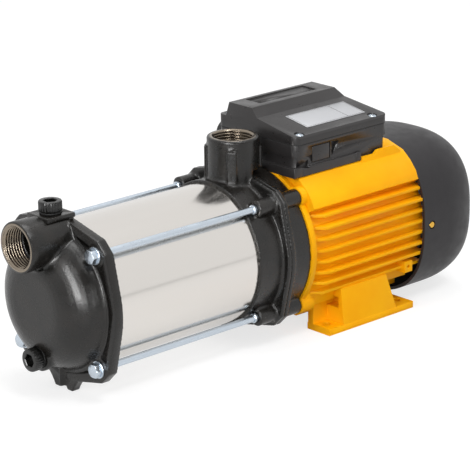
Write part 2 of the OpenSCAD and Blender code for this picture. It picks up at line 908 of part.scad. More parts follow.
// Rings and balls of a bearing; each race is a groove that the balls run in
module bearing_race(x, w, r_in, r_out) {
    mid = (r_in + r_out) / 2;
    ball = (r_out - r_in) * ball_share;
    translate([x + w / 2, 0, 0]) rotate([0, 90, 0])
        rotate_extrude() translate([mid, 0]) circle(ball + 2 * run / 3);
}

module bearing_outer(x, w, r_in, r_out) {
    color("silver") at_shaft() difference() {
        ring_x(x, w, r_out, r_out - (r_out - r_in) * bearing_ring_share);
        bearing_race(x, w, r_in, r_out);
    }
}

module bearing_inner(x, w, r_in, r_out) {
    color("silver") at_shaft() difference() {
        ring_x(x, w, r_in + (r_out - r_in) * bearing_ring_share, r_in + fit);
        bearing_race(x, w, r_in, r_out);
    }
}

module bearing_ball_set(x, w, r_in, r_out) {
    mid = (r_in + r_out) / 2;
    color("silver") at_shaft() for (i = [0:bearing_balls - 1]) rotate([i * 360 / bearing_balls, 0, 0])
        translate([x + w / 2, 0, mid]) sphere((r_out - r_in) * ball_share);
}

module front_bearing_outer() {
    bearing_outer(front_bearing_x, front_bearing_w, front_journal_r, front_bearing_r);
}

module front_bearing_inner() {
    bearing_inner(front_bearing_x, front_bearing_w, front_journal_r, front_bearing_r);
}

module front_bearing_balls() {
    bearing_ball_set(front_bearing_x, front_bearing_w, front_journal_r, front_bearing_r);
}

module rear_bearing_outer() {
    bearing_outer(rear_bearing_x, rear_bearing_w, rear_journal_r, rear_bearing_r);
}

module rear_bearing_inner() {
    bearing_inner(rear_bearing_x, rear_bearing_w, rear_journal_r, rear_bearing_r);
}

module rear_bearing_balls() {
    bearing_ball_set(rear_bearing_x, rear_bearing_w, rear_journal_r, rear_bearing_r);
}

// Pair of side fins at one height, with a ramp at the front
module side_fins(z) {
    tip = min(fin_reach, sqrt(pow(fin_corner_r, 2) - pow(z, 2)));
    root = sqrt(pow(shell_r, 2) - pow(z, 2));
    start = motor_face_x + fin_front;
    translate([0, 0, z - fin_t / 2]) linear_extrude(fin_t) polygon([
        [start, -root], [start + fin_ramp, -tip], [housing_end_x, -tip],
        [housing_end_x, tip], [start + fin_ramp, tip], [start, root]
    ]);
}

// Fin under the housing
module under_fin(y) {
    tip = min(under_fin_reach, sqrt(pow(fin_corner_r, 2) - pow(y, 2)));
    start = motor_face_x + fin_front;
    translate([0, y + fin_t / 2, 0]) rotate([90, 0, 0]) linear_extrude(fin_t) polygon([
        [start, 0], [start, -shell_in_r - over], [start + fin_ramp, -tip],
        [housing_end_x, -tip], [housing_end_x, 0]
    ]);
}

// Smooth upper body of the housing, as a section seen along the shaft
module hump_section() {
    right = [for (s = hump_shares) [s[0] * shell_r, s[1] * box_seat_rise]];
    left = [for (i = [len(right) - 2:-1:0]) [-right[i][0], right[i][1]]];
    polygon(concat([[0, 0]], right, left));
}

// Low lip on the near side of the housing, beside the seat of the terminal box
module seat_lip() {
    x = seat_lip_xs;
    rise = box_seat_rise;
    translate([0, lid_hang + base_inset - box_near - seat_lip_gap, 0]) rotate([90, 0, 0])
        linear_extrude(seat_lip_t) polygon([
            [x[0], rise - seat_lip_root], [x[0], rise + seat_lip_low], [x[1], rise + seat_lip_low],
            [x[2], rise + seat_lip_high], [x[3], rise + seat_lip_high],
            [x[4], rise], [x[4], rise - seat_lip_root]
        ]);
}

// Space outside the step at the housing's rear end that the cover slips over
module cover_step() {
    difference() {
        translate([cover_step_x, -shaft_h, -shaft_h])
            cube([housing_end_x - cover_step_x + over, 2 * shaft_h, 2 * shaft_h]);
        plate_along_x(cover_step_x - over, housing_end_x - cover_step_x + 3 * over)
            polygon([for (p = cover_ring(0, cover_in_half_w - cover_step_gap)) [p[1], p[2]]]);
    }
}

module motor_housing() {
    color("orange") at_shaft() {
        housing_shell();
        seat_lip();
    }
}

module housing_shell() {
    difference() {
        union() {
            rod_x(motor_face_x, housing_len, shell_r);
            rod_x(motor_face_x, face_flange_t, face_flange_r);
            at_rods() rod_x(motor_face_x, rod_lobe_len, rod_lobe_r);
            plate_along_x(motor_face_x + hump_start, housing_len - hump_start) hump_section();
            for (i = [0:fins - 1]) side_fins(fin_first - i * fin_pitch);
            for (i = [0:under_fins - 1]) under_fin((i - (under_fins - 1) / 2) * under_fin_pitch);
            for (side = signs) translate([-rail_front, side > 0 ? rail_in : -rail_out, -rail_drop])
                cube([rail_front + rail_rear, rail_out - rail_in, rail_drop - fin_first]);
            translate([housing_end_x - earth_back, -earth_out, -earth_drop - earth_h / 2])
                cube([earth_w, earth_out - shell_in_r / 2 - rail_in / 2, earth_h]);
        }
        cover_step();
        rod_x(motor_face_x - over, housing_len + 2 * over, shell_in_r);
        at_rods() rod_x(motor_face_x - over, rod_bite + 2 * over, rod_r + fit);
        translate([motor_face_x - over, -shell_r, box_seat_rise])
            cube([box_len - box_front + foot_to_motor_face + box_seat_end + over, 2 * shell_r, shell_r]);
        translate([box_mid_x, 0, 0]) cylinder(h = shaft_h + shell_r, r = wire_hole_r);
        translate([housing_end_x - earth_back + earth_w / 2, -earth_out - over, -earth_drop])
            rotate([-90, 0, 0]) cylinder(h = earth_hole_len + over, r = earth_hole_r);
        for (i = [45:90:315]) rotate([i, 0, 0])
            rod_x(housing_end_x - shield_screw_bite - over, shield_screw_bite + 2 * over,
                shield_screw_r + fit, 0, shield_screw_at);
        for (side = signs, end = signs)
            translate([foot_screw_mid + end * foot_screw_x, side * rail_mid, -rail_drop - over])
                cylinder(h = foot_screw_bite + 2 * over, r = foot_screw_r + fit);
    }
}

// One foot, screwed up against a rail under the housing
module foot(side) {
    y_low = side > 0 ? foot_in : -foot_out;
    web_y = side > 0 ? foot_in + foot_web_in : -foot_in - foot_web_in - foot_web_t;
    tilt_y = side > 0 ? foot_in : -foot_out + foot_block_tilt;
    pocket_y = side * (foot_out - foot_pocket_out - foot_pocket_w / 2) - foot_pocket_w / 2;
    block_len = foot_block_front + foot_block_rear;
    difference() {
        union() {
            translate([-foot_len / 2, y_low, 0]) cube([foot_len, foot_w, foot_t]);
            hull() {
                translate([-foot_block_front, y_low, 0])
                    cube([block_len, foot_w, foot_t]);
                translate([-foot_block_front, tilt_y, foot_block_top - over])
                    cube([block_len - foot_block_lean, foot_w - foot_block_tilt, over]);
            }
            translate([-foot_len / 2, web_y, 0])
                cube([foot_len / 2 - foot_block_front + over, foot_web_t, shaft_h - rail_in]);
        }
        translate([-foot_len, side > 0 ? 0 : -rail_out - fit, rail_z])
            cube([2 * foot_len, rail_out + fit, shaft_h]);
        translate([-foot_len, side > 0 ? 0 : -foot_out, foot_block_top])
            cube([2 * foot_len, foot_out, shaft_h]);
        at_shaft() rod_x(-foot_len, 2 * foot_len, shell_r + fit);
        translate([-foot_block_front - over, pocket_y, foot_pocket_z])
            cube([foot_pocket_depth + over, foot_pocket_w, foot_pocket_h]);
        for (end = signs) {
            translate([end * foot_bolt_x / 2, side * foot_bolt_y / 2, -over])
                cylinder(h = foot_t + 2 * over, r = foot_hole_r);
            translate([foot_screw_mid + end * foot_screw_x, side * rail_mid, -over]) {
                cylinder(h = shaft_h, r = foot_screw_r + bolt_gap);
                cylinder(h = foot_screw_sink + over, r = foot_screw_head_r + bolt_gap);
            }
        }
    }
}

module foot_left() {
    color("orange") foot(-1);
}

module foot_right() {
    color("orange") foot(1);
}

module foot_screws() {
    color("silver") for (side = signs, end = signs)
        translate([foot_screw_mid + end * foot_screw_x, side * rail_mid, 0]) {
            translate([0, 0, foot_screw_sink - foot_screw_head_h])
                cylinder(h = foot_screw_head_h, r = foot_screw_head_r);
            translate([0, 0, foot_screw_sink - over])
                cylinder(h = rail_z + foot_screw_bite - foot_screw_sink + over, r = foot_screw_r);
        }
}

// Places of the slots around the stator
module at_slots() {
    for (i = [0:slots - 1]) rotate([i * 360 / slots, 0, 0]) children();
}

module stator_core() {
    in_r = rotor_r + air_gap;
    color("slategray") at_shaft() difference() {
        ring_x(core_x, core_len, core_fit_r, in_r);
        at_slots() translate([core_x - over, -slot_w / 2, in_r + slot_in_gap])
            cube([core_len + 2 * over, slot_w, slot_depth]);
    }
}

module stator_windings() {
    in_r = rotor_r + air_gap + slot_in_gap + coil_gap;
    bar_w = slot_w - 2 * coil_gap;
    color("peru") at_shaft() {
        ring_x(core_x - coil_end_len, coil_end_len, coil_end_r, in_r);
        ring_x(core_x + core_len, coil_end_len, coil_end_r, in_r);
        at_slots() translate([core_x - over, -bar_w / 2, in_r])
            cube([core_len + 2 * over, bar_w, slot_depth - 2 * coil_gap]);
    }
}

module rotor_core() {
    color("slategray") at_shaft() {
        ring_x(core_x - core_step, core_len + 2 * core_step, rotor_r, core_seat_r + fit);
        for (x = [core_x - core_step - rotor_ring_len, core_x + core_len + core_step])
            ring_x(x, rotor_ring_len, rotor_r - core_step, rotor_r - rotor_ring_in);
    }
}

// Four arms of the rear shield that the cover is screwed to
module at_cover_screws() {
    for (turn = [0:90:270]) translate([0, 0, -cover_drop]) rotate([turn, 0, 0]) children();
}

module rear_shield() {
    color("dimgray") at_shaft() difference() {
        union() {
            rod_x(housing_end_x, shield_t, shell_r);
            ring_x(housing_end_x - shield_lip, shield_lip + over, core_fit_r, core_fit_r - shield_lip_t);
            rod_x(shield_hub_x, housing_end_x - shield_hub_x + over, rear_bearing_r + shield_hub_wall);
            at_cover_screws() translate([housing_end_x, -shield_arm_w / 2, shield_arm_in])
                cube([shield_arm_len, shield_arm_w, cover_in_half_w - shield_arm_tip - shield_arm_in]);
        }
        rod_x(shield_hub_x - over, rear_bearing_w + shield_hub_front + over, rear_bearing_r + fit);
        rod_x(rear_bearing_x, rear_bearing_back + shield_t + over, rear_journal_r + shaft_hole_gap);
        rod_x(housing_end_x + shield_t, shield_arm_len, shield_arm_in);
        for (i = [45:90:315]) rotate([i, 0, 0])
            rod_x(housing_end_x - over, shield_t + 2 * over, shield_screw_r + bolt_gap, 0, shield_screw_at);
        at_cover_screws() translate([cover_screw_x, 0, cover_in_half_w - cover_screw_bite])
            cylinder(h = cover_screw_bite + over, r = cover_screw_r + fit);
    }
}

module rear_shield_screws() {
    color("silver") at_shaft() for (i = [45:90:315]) rotate([i, 0, 0]) {
        rod_x(housing_end_x - shield_screw_bite, shield_screw_bite + shield_t + over,
            shield_screw_r, 0, shield_screw_at);
        rod_x(housing_end_x + shield_t, shield_screw_head_h, shield_screw_head_r, 0, shield_screw_at);
    }
}

module cooling_fan() {
    color("black") at_shaft() {
        ring_x(fan_x, fan_len, fan_hub_r, fan_seat_r + fit);
        ring_x(fan_x, fan_disc_t, fan_r, fan_hub_r - over);
        for (i = [0:fan_blades - 1]) rotate([i * 360 / fan_blades, 0, 0])
            translate([fan_x, -fan_blade_t / 2, fan_hub_r - over])
                cube([fan_len, fan_blade_t, fan_r - fan_hub_r]);
    }
}

module fan_ring() {
    color("silver") at_shaft() ring_x(fan_x + fan_len, fan_ring_t, fan_ring_r, fan_seat_r + fit);
}

// One ring of points of the cover: a rounded square of the given half width
function cover_ring(x, half) = [for (i = [0:cover_sides - 1]) let (a = i * 360 / cover_sides,
    reach = half / pow(pow(abs(cos(a)), cover_power) + pow(abs(sin(a)), cover_power), 1 / cover_power))
    [x, reach * cos(a), reach * sin(a) - cover_drop]];

// Rings of the cover, straight at first and then rounded in
function cover_rings(half, length) = concat(
    cover_ring(cover_x, half),
    [for (i = [0:cover_steps]) let (a = i * 90 / cover_steps)
        each cover_ring(cover_x + length * (cover_straight_share + (1 - cover_straight_share) * sin(a)),
            half * (cover_end_share + (1 - cover_end_share) * cos(a)))]);

// Shell of the cover, closed at the rear
module cover_shell() {
    n = cover_sides;
    rows = cover_steps + 1;
    in = n * (rows + 1);
    polyhedron(concat(cover_rings(cover_half_w, cover_len),
            cover_rings(cover_in_half_w, cover_len - cover_wall)), concat(
        [[for (i = [n - 1:-1:0]) rows * n + i], [for (i = [0:n - 1]) in + rows * n + i]],
        [for (i = [0:n - 1]) let (j = (i + 1) % n) each [[i, j, in + j], [i, in + j, in + i]]],
        [for (row = [0:rows - 1], i = [0:n - 1]) let (a = row * n + i, b = row * n + (i + 1) % n)
            each [[a, b + n, b], [a, a + n, b + n], [in + a, in + b, in + b + n],
                [in + a, in + b + n, in + a + n]]]));
}

module fan_cover() {
    color("dimgray") at_shaft() difference() {
        cover_shell();
        for (i = [-vent_rows:vent_rows], side = signs)
            let (y = i * vent_pitch, reach = sqrt(pow(vent_r, 2) - pow(y, 2) + pow(vent_w, 2)))
                translate([cover_end_x - 2 * cover_wall, y - vent_w / 2,
                side > 0 ? vent_spine / 2 - cover_drop : -reach - cover_drop])
                    cube([3 * cover_wall, vent_w, reach - vent_spine / 2]);
        at_cover_screws() translate([cover_screw_x, 0, shell_in_r]) {
            cylinder(h = shell_r, r = cover_screw_r + bolt_gap);
            translate([0, 0, cover_half_w - cover_screw_head_h - shell_in_r])
                cylinder(h = cover_wall, r = cover_screw_head_r + bolt_gap);
        }
    }
}

module fan_cover_screws() {
    seat = cover_half_w - cover_screw_head_h;
    color("gold") at_shaft() at_cover_screws() translate([cover_screw_x, 0, seat]) {
        cylinder(h = cover_screw_head_h, r = cover_screw_head_r);
        translate([0, 0, -cover_screw_bite]) cylinder(h = cover_screw_bite + over / 2, r = cover_screw_r);
    }
}

// Plan of the box with round corners, inset all round
module box_plan(inset) {
    w = box_len - 2 * inset;
    d = box_w - 2 * inset;
    r = box_corner_r;
    translate([box_mid_x, box_mid_y]) {
        square([w - 2 * r, d], center = true);
        square([w, d - 2 * r], center = true);
        for (sx = signs, sy = signs) translate([sx * (w / 2 - r), sy * (d / 2 - r)]) circle(r);
    }
}

module at_lid_screws() {
    for (x = lid_screw_xs, y = lid_screw_ys) translate([x, y, 0]) children();
}

module terminal_box_base() {
    in_low = lid_hang + base_inset + box_wall;
    top = box_z + box_base_h;
    color("dimgray") difference() {
        union() {
            translate([0, 0, box_z]) linear_extrude(box_base_h) box_plan(lid_hang + base_inset);
            translate([0, 0, top - base_band_h]) linear_extrude(base_band_h) box_plan(lid_hang);
            translate([box_x - ledge_front, -box_near - ledge_out, box_z])
                cube([ledge_len, box_near + ledge_out, ledge_h]);
            translate([knock_x, -box_near + lid_hang, box_z + knock_z])
                cube([knock_w, box_near / 2, knock_h]);
            translate([gland_x - gland_pad_w / 2, 0, box_z])
                cube([gland_pad_w, box_far - lid_hang, box_base_h]);
        }
        difference() {
            translate([0, 0, box_z + base_floor_t]) linear_extrude(box_base_h) box_plan(in_low);
            at_lid_screws() translate([0, 0, box_z]) cylinder(h = box_base_h, r = pillar_r);
        }
        at_lid_screws() translate([0, 0, lid_z + lid_edge_h - lid_screw_len - lid_screw_head_h])
            cylinder(h = lid_screw_len + lid_top_h, r = lid_screw_r + fit);
        translate([box_mid_x, 0, box_z - over]) cylinder(h = base_floor_t + 2 * over, r = wire_hole_r);
        translate([gland_x, 0, box_z + gland_rise]) rotate([-90, 0, 0])
            cylinder(h = box_w, r = gland_thread_r + fit);
    }
}

module terminal_box_gasket() {
    color("black") translate([0, 0, lid_z - gasket_t]) linear_extrude(gasket_t) difference() {
        box_plan(lid_hang);
        box_plan(lid_hang + gasket_w);
    }
}

// Section of the lid seen along the shaft, or of its hollow when shrunk by a wall
function lid_points(w, base) = [
    [-box_near + w, base], [-box_near + w, lid_edge_h - lid_bevel - w / 2],
    [-box_near + lid_bevel + w, lid_edge_h - w], [lid_slope_y + w / 2, lid_slope_h - w],
    [lid_step_y + w, lid_top_h - w], [lid_far_y - w, lid_top_h - w], [lid_far_foot_y - w, lid_far_h - w],
    [box_far - w, lid_far_h - w], [box_far - w, base]
];

// Lid, or its hollow, drawn along the shaft with its ends leaning in
module lid_form(w, base) {
    front = box_x + w;
    rear = box_x + box_len - w;
    intersection() {
        translate([front, 0, lid_z]) rotate([90, 0, 90]) linear_extrude(box_len - 2 * w)
            polygon(lid_points(w, base));
        translate([0, box_w, lid_z]) rotate([90, 0, 0]) linear_extrude(2 * box_w) polygon([
            [front, base], [front, lid_edge_h], [front + lid_end_lean, lid_top_h],
            [rear - lid_rear_lean, lid_top_h], [rear, lid_edge_h], [rear, base]
        ]);
        translate([0, 0, lid_z + base]) linear_extrude(lid_top_h - base) box_plan(w);
    }
}

module terminal_box_lid() {
    panel_x = lid_end_lean + lid_panel_in;
    panel_rear = lid_rear_lean + lid_panel_in;
    panel_w = lid_far_y - lid_step_y - lid_panel_near - lid_panel_far;
    color("dimgray") difference() {
        lid_form(0, 0);
        difference() {
            lid_form(box_wall, -over);
            at_lid_screws() translate([0, 0, lid_z]) cylinder(h = lid_top_h, r = pillar_r);
        }
        translate([box_x + panel_x, lid_step_y + lid_panel_near, lid_z + lid_top_h - lid_panel_depth])
            cube([box_len - panel_x - panel_rear, panel_w, lid_panel_depth + over]);
        at_lid_screws() translate([0, 0, lid_z - over])
            cylinder(h = lid_top_h + 2 * over, r = lid_screw_r + bolt_gap);
        for (i = [0:1]) lid_screw_places(i) cylinder(h = lid_top_h, r = lid_screw_head_r + bolt_gap);
    }
}

// Seats of the screw heads: 0 is the near pair, on the slope, and 1 the far pair
module lid_screw_places(i) {
    seat = i == 0 ? lid_edge_h : lid_far_h;
    z = lid_z + seat + lid_screw_proud - lid_screw_head_h;
    for (x = lid_screw_xs) translate([x, lid_screw_ys[i], z]) children();
}

module lid_screws() {
    color("silver") for (i = [0:1]) lid_screw_places(i) {
        cylinder(h = lid_screw_head_h, r = lid_screw_head_r);
        translate([0, 0, -lid_screw_len]) cylinder(h = lid_screw_len + over, r = lid_screw_r);
    }
}

module terminal_block() {
    x = box_mid_x - block_len / 2 - block_back;
    z = box_z + base_floor_t;
    color("ivory") translate([x, -block_side - block_w, z]) {
        cube([block_len, block_w, block_h]);
        for (i = [0:block_studs / 2 - 1], j = [0:1])
            translate([(i + 1 / 2) * block_len * 2 / block_studs, (j + 1 / 2) * block_w / 2, block_h - over])
                cylinder(h = stud_h + over, r = stud_r);
    }
}

module capacitor() {
    color("lightgray") rod_x(box_mid_x - cap_len / 2, cap_len, cap_r, cap_y, box_z + base_floor_t + cap_r);
}

// Places the gland on the wall, its axis pointing out of the box
module at_gland() {
    translate([gland_x, box_far - lid_hang, box_z + gland_rise]) rotate([-90, 0, 0]) children();
}

module cable_gland() {
    color("black") at_gland() difference() {
        union() {
            rotate([0, 0, 30]) cylinder(h = gland_hex_len, r = hex_r(gland_af), $fn = 6);
            translate([0, 0, -box_wall - base_inset - gland_tail])
                cylinder(h = box_wall + base_inset + gland_tail + over, r = gland_thread_r);
        }
        translate([0, 0, -box_w]) cylinder(h = 2 * box_w, r = gland_bore_r);
    }
}

module gland_nut() {
    color("black") at_gland() translate([0, 0, gland_hex_len]) difference() {
        cylinder(h = gland_nut_len, r = gland_nut_r);
        translate([0, 0, -over]) cylinder(h = gland_nut_len + 2 * over, r = gland_bore_r);
    }
}

module rating_plate() {
    run_y = lid_slope_y + box_near - lid_bevel;
    tilt = atan((lid_slope_h - lid_edge_h) / run_y);
    color("whitesmoke") translate([box_x + plate_start, -box_near + lid_bevel, lid_z + lid_edge_h])
        rotate([tilt, 0, 0]) translate([0, plate_side, 0]) cube([plate_len, plate_w, plate_t]);
}

suction_casing();
priming_plug();
priming_ring();
drain_plug();
drain_ring();
barrel();
front_barrel_seal();
rear_barrel_seal();
tie_rods();
tie_rod_washers();
discharge_casing();
motor_bracket();
stage_casing(1);  // stage_casing_1
stage_casing(2);  // stage_casing_2
stage_casing(3);  // stage_casing_3
stage_casing(4);  // stage_casing_4
stage_casing(5);  // stage_casing_5
impeller(1);  // impeller_1
impeller(2);  // impeller_2
impeller(3);  // impeller_3
impeller(4);  // impeller_4
impeller(5);  // impeller_5
impeller_spacers();
impeller_nut();
shaft();
seal_seat();
seal_head();
slinger();
front_bearing_outer();
front_bearing_inner();
front_bearing_balls();
rear_bearing_outer();
rear_bearing_inner();
rear_bearing_balls();
motor_housing();
foot_left();
foot_right();
foot_screws();
stator_core();
stator_windings();
rotor_core();
rear_shield();
rear_shield_screws();
cooling_fan();
fan_ring();
fan_cover();
fan_cover_screws();
terminal_box_base();
terminal_box_gasket();
terminal_box_lid();
lid_screws();
terminal_block();
capacitor();
cable_gland();
gland_nut();
rating_plate();
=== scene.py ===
import json
import math

import bmesh
import bpy
import numpy as np
from mathutils import Matrix, Quaternion, Vector

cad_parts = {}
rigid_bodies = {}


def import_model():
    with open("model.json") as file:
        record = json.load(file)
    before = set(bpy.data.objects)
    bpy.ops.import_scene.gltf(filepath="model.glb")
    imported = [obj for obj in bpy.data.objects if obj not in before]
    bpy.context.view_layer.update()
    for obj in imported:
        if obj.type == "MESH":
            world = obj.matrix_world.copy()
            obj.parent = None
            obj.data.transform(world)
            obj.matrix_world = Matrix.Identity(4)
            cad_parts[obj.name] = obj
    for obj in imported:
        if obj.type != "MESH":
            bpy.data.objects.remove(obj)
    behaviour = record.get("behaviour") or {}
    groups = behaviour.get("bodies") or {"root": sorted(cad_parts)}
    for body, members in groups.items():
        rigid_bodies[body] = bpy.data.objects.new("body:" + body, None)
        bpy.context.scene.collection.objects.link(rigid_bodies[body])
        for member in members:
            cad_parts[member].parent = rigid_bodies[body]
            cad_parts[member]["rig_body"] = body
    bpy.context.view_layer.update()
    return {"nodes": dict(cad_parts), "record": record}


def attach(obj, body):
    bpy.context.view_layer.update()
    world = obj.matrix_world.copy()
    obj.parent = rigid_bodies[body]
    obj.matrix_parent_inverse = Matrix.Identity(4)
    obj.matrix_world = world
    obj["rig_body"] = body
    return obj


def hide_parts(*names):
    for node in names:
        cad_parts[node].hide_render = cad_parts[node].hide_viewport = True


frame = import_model()
nodes = frame["nodes"]
slotOf = {part["node"]: part["material_slot"] for part in frame["record"]["subparts"]}
mm = 0.001
shaft = 71  # height of the shaft over the ground, in mm as every size below


# Camera of the photograph, solved from its circles and its base plane
view = {
    "place": (-1.23257, -1.24913, 0.63392),
    "target": (-0.117845, 0, 0.071),
    "roll": -0.91,
    "lens": 174.13,
    "film": 36,
    "shift": (0.05334, 0.03836),
    "farthest": 50,
}


def addCamera(settings):
    place = Vector(settings["place"])
    back = (place - Vector(settings["target"])).normalized()
    right = Vector((0, 0, 1)).cross(back).normalized()
    up = back.cross(right)
    roll = math.radians(settings["roll"])
    across = right * math.cos(roll) + up * math.sin(roll)
    above = up * math.cos(roll) - right * math.sin(roll)
    data = bpy.data.cameras.new("photoCamera")
    data.lens, data.sensor_width = settings["lens"], settings["film"]
    data.shift_x, data.shift_y = settings["shift"]
    data.clip_end = settings["farthest"]
    camera = bpy.data.objects.new("photoCamera", data)
    bpy.context.scene.collection.objects.link(camera)
    camera.matrix_world = Matrix.Translation(place) @ Matrix((across, above, back)).transposed().to_4x4()
    bpy.context.scene.camera = camera


addCamera(view)
bpy.context.scene.view_settings.view_transform = "Standard"
print("camera placed")


# Small tools

mending = {
    "merge": 1e-6,  # points nearer than this are one, in metres
    "sliver": 1e-7,
    "nodeMerge": 2e-6,
    "flat": 0.6,  # faces that meet at less than this angle are one flat face
}


def toLinear(hexColour):
    parts = [int(hexColour[i:i + 2], 16) / 255 for i in (0, 2, 4)]
    return tuple(c / 12.92 if c <= 0.04045 else ((c + 0.055) / 1.055) ** 2.4 for c in parts) + (1,)


def addNode(tree, kind, values=None, links=None, **settings):
    node = tree.nodes.new(kind)
    for name, value in settings.items():
        setattr(node, name, value)
    for socket, value in (values or {}).items():
        node.inputs[socket].default_value = value
    for socket, source in (links or {}).items():
        tree.links.new(source, node.inputs[socket])
    return node


def place(x, y, z, toward="Z"):
    turns = {"Z": (0, "X"), "-Z": (180, "X"), "X": (90, "Y"), "-X": (-90, "Y"),
             "Y": (-90, "X"), "-Y": (90, "X")}
    angle, axis = turns[toward]
    return Matrix.Translation((x, y, z)) @ Matrix.Rotation(math.radians(angle), 4, axis)


def shade(mesh, angle=35):
    mesh.shade_smooth()
    mesh.set_sharp_from_angle(angle=math.radians(angle))


def link(name, mesh):
    piece = bpy.data.objects.new(name, mesh)
    bpy.context.scene.collection.objects.link(piece)
    return piece


def meshPiece(name, points, faces, angle=35):
    # Points in mm from the shared origin
    mesh = bpy.data.meshes.new(name)
    mesh.from_pydata([Vector(p) * mm for p in points], [], faces)
    form = bmesh.new()
    form.from_mesh(mesh)
    bmesh.ops.remove_doubles(form, verts=form.verts, dist=mending["merge"])
    bmesh.ops.dissolve_degenerate(form, edges=form.edges, dist=mending["sliver"])
    bmesh.ops.recalc_face_normals(form, faces=form.faces)
    form.to_mesh(mesh)
    form.free()
    shade(mesh, angle)
    return link(name, mesh)


def turned(name, where, column, steps=96, angle=35):
    # Closed loop of (radius, height) for each angle, swept round the local Z axis.
    points, faces, count = [], [], 0
    for i in range(steps):
        turn = 2 * math.pi * i / steps
        loop = column(turn)
        count = len(loop)
        points += [where @ Vector((r * math.cos(turn), r * math.sin(turn), a)) for r, a in loop]
    for i in range(steps):
        for k in range(count):
            a, b = i * count + k, i * count + (k + 1) % count
            c, d = (i + 1) % steps * count + (k + 1) % count, (i + 1) % steps * count + k
            faces.append((a, b, c, d))
    return meshPiece(name, points, faces, angle)


def evaluated(name, piece):
    # Plain mesh of a piece with its modifiers applied; the piece itself goes.
    shapes = bpy.context.evaluated_depsgraph_get()
    mesh = bpy.data.meshes.new_from_object(piece.evaluated_get(shapes))
    mesh.name = name
    bpy.data.objects.remove(piece)
    return mesh


def settled(name, piece):
    # The same piece with its modifiers applied and its shading set
    mesh = evaluated(name, piece)
    shade(mesh)
    return link(name, mesh)


def addBevel(piece, width, segments=2, angle=30):
    bevel = piece.modifiers.new("edges", "BEVEL")
    bevel.width, bevel.segments = width * mm, segments
    bevel.limit_method, bevel.angle_limit = "ANGLE", math.radians(angle)
    bevel.use_clamp_overlap = True
    bevel.miter_outer = "MITER_ARC"


def solidCopy(name, node):
    mesh = nodes[node].data.copy()
    mesh.materials.clear()
    form = bmesh.new()
    form.from_mesh(mesh)
    bmesh.ops.remove_doubles(form, verts=form.verts, dist=mending["nodeMerge"])
    form.to_mesh(mesh)
    form.free()
    return link(name, mesh)


def edgedCopy(name, node, width=0.4, segments=2, angle=32):
    # The node's own shape, with its edges broken by a small round.
    piece = solidCopy(name, node)
    form = bmesh.new()
    form.from_mesh(piece.data)
    flat = math.radians(mending["flat"])
    bmesh.ops.dissolve_limit(form, angle_limit=flat, verts=form.verts, edges=form.edges)
    form.to_mesh(piece.data)
    form.free()
    if width:
        addBevel(piece, width, segments, angle)
    return settled(name, piece)


def pin(where, length, r):
    # Round cutter or filler
    return turned("filler", where, lambda turn: [(0, 0), (r, 0), (r, length), (0, length)], 64)


def rod(x0, x1, r, y=0, z=0):
    # Along the shaft; z is measured from the shaft.
    return pin(place(x0, y, shaft + z, "X"), x1 - x0, r)


def upright(x, z0, z1, r):
    return pin(place(x, 0, z0), z1 - z0, r)


def prismFaces(count, start=0):
    # Faces between two like outlines, whose points follow each other
    faces = [tuple(start + k for k in range(count)), tuple(start + count + k for k in reversed(range(count)))]
    for k in range(count):
        m = (k + 1) % count
        faces.append((start + k, start + m, start + count + m, start + count + k))
    return faces


def slab(name, outline, x0, x1, width):
    # Plate across the shaft: its outline is in y and z, and its edges are broken
    points = [(x, y, z) for x in (x0, x1) for y, z in outline]
    piece = meshPiece(name, points, prismFaces(len(outline)))
    addBevel(piece, width)
    return settled(piece.name, piece)


def block(name, x, y, z, width=0):
    # Box between pairs of x, y and z
    return slab(name, [(y[0], z[0]), (y[1], z[0]), (y[1], z[1]), (y[0], z[1])], x[0], x[1], width)


def prism(name, outline, y0, y1):
    # Plate along the shaft: its outline is in x and z
    return meshPiece(name, [(x, y, z) for y in (y0, y1) for x, z in outline], prismFaces(len(outline)))


def cut(piece, cutter):
    boolean = piece.modifiers.new("cut", "BOOLEAN")
    boolean.operation, boolean.object, boolean.solver = "DIFFERENCE", cutter, "EXACT"
    mesh = evaluated(piece.name, piece)
    bpy.data.objects.remove(cutter)
    return link(mesh.name, mesh)


def join(piece, others):
    form = bmesh.new()
    form.from_mesh(piece.data)
    for other in others:
        form.from_mesh(other.data)
        bpy.data.objects.remove(other)
    form.to_mesh(piece.data)
    form.free()
    return piece


# How the skin of a casting is evened out
skinning = {
    "renew": 4,  # steps of the fillet between two looks at which way is outward
    "fill": 0.8,
    "hollow": 2e-6,  # lift of a point, in metres, that counts as a hollow corner
    "smooth": 0.5,
    "restore": 0.52,
}


def softened(mesh, fillet, rounds):
    # Fillets grow in the hollow corners of a casting, then the whole skin is evened out.
    points = np.empty(len(mesh.vertices) * 3)
    mesh.vertices.foreach_get("co", points)
    points = points.reshape(-1, 3)
    edges = np.empty(len(mesh.edges) * 2, int)
    mesh.edges.foreach_get("vertices", edges)
    a, b = edges.reshape(-1, 2).T
    count = len(points)
    weight = np.bincount(a, minlength=count) + np.bincount(b, minlength=count)

    def average(values):
        total = np.stack([np.bincount(a, values[b, k], count) + np.bincount(b, values[a, k], count)
                          for k in range(3)], 1)
        return total / weight[:, None]

    def normals():
        mesh.vertices.foreach_set("co", points.reshape(-1))
        mesh.update()
        out = np.empty(count * 3)
        mesh.vertices.foreach_get("normal", out)
        return out.reshape(-1, 3)

    for step in range(fillet):
        if step % skinning["renew"] == 0:
            outward = normals()
        move = average(points) - points
        lift = np.clip((move * outward).sum(1), 0, None)
        points = points + skinning["fill"] * np.where(lift > skinning["hollow"], 1, 0)[:, None] * move
    for step in range(rounds):
        points = points + skinning["smooth"] * (average(points) - points)
        points = points - skinning["restore"] * (average(points) - points)
    normals()


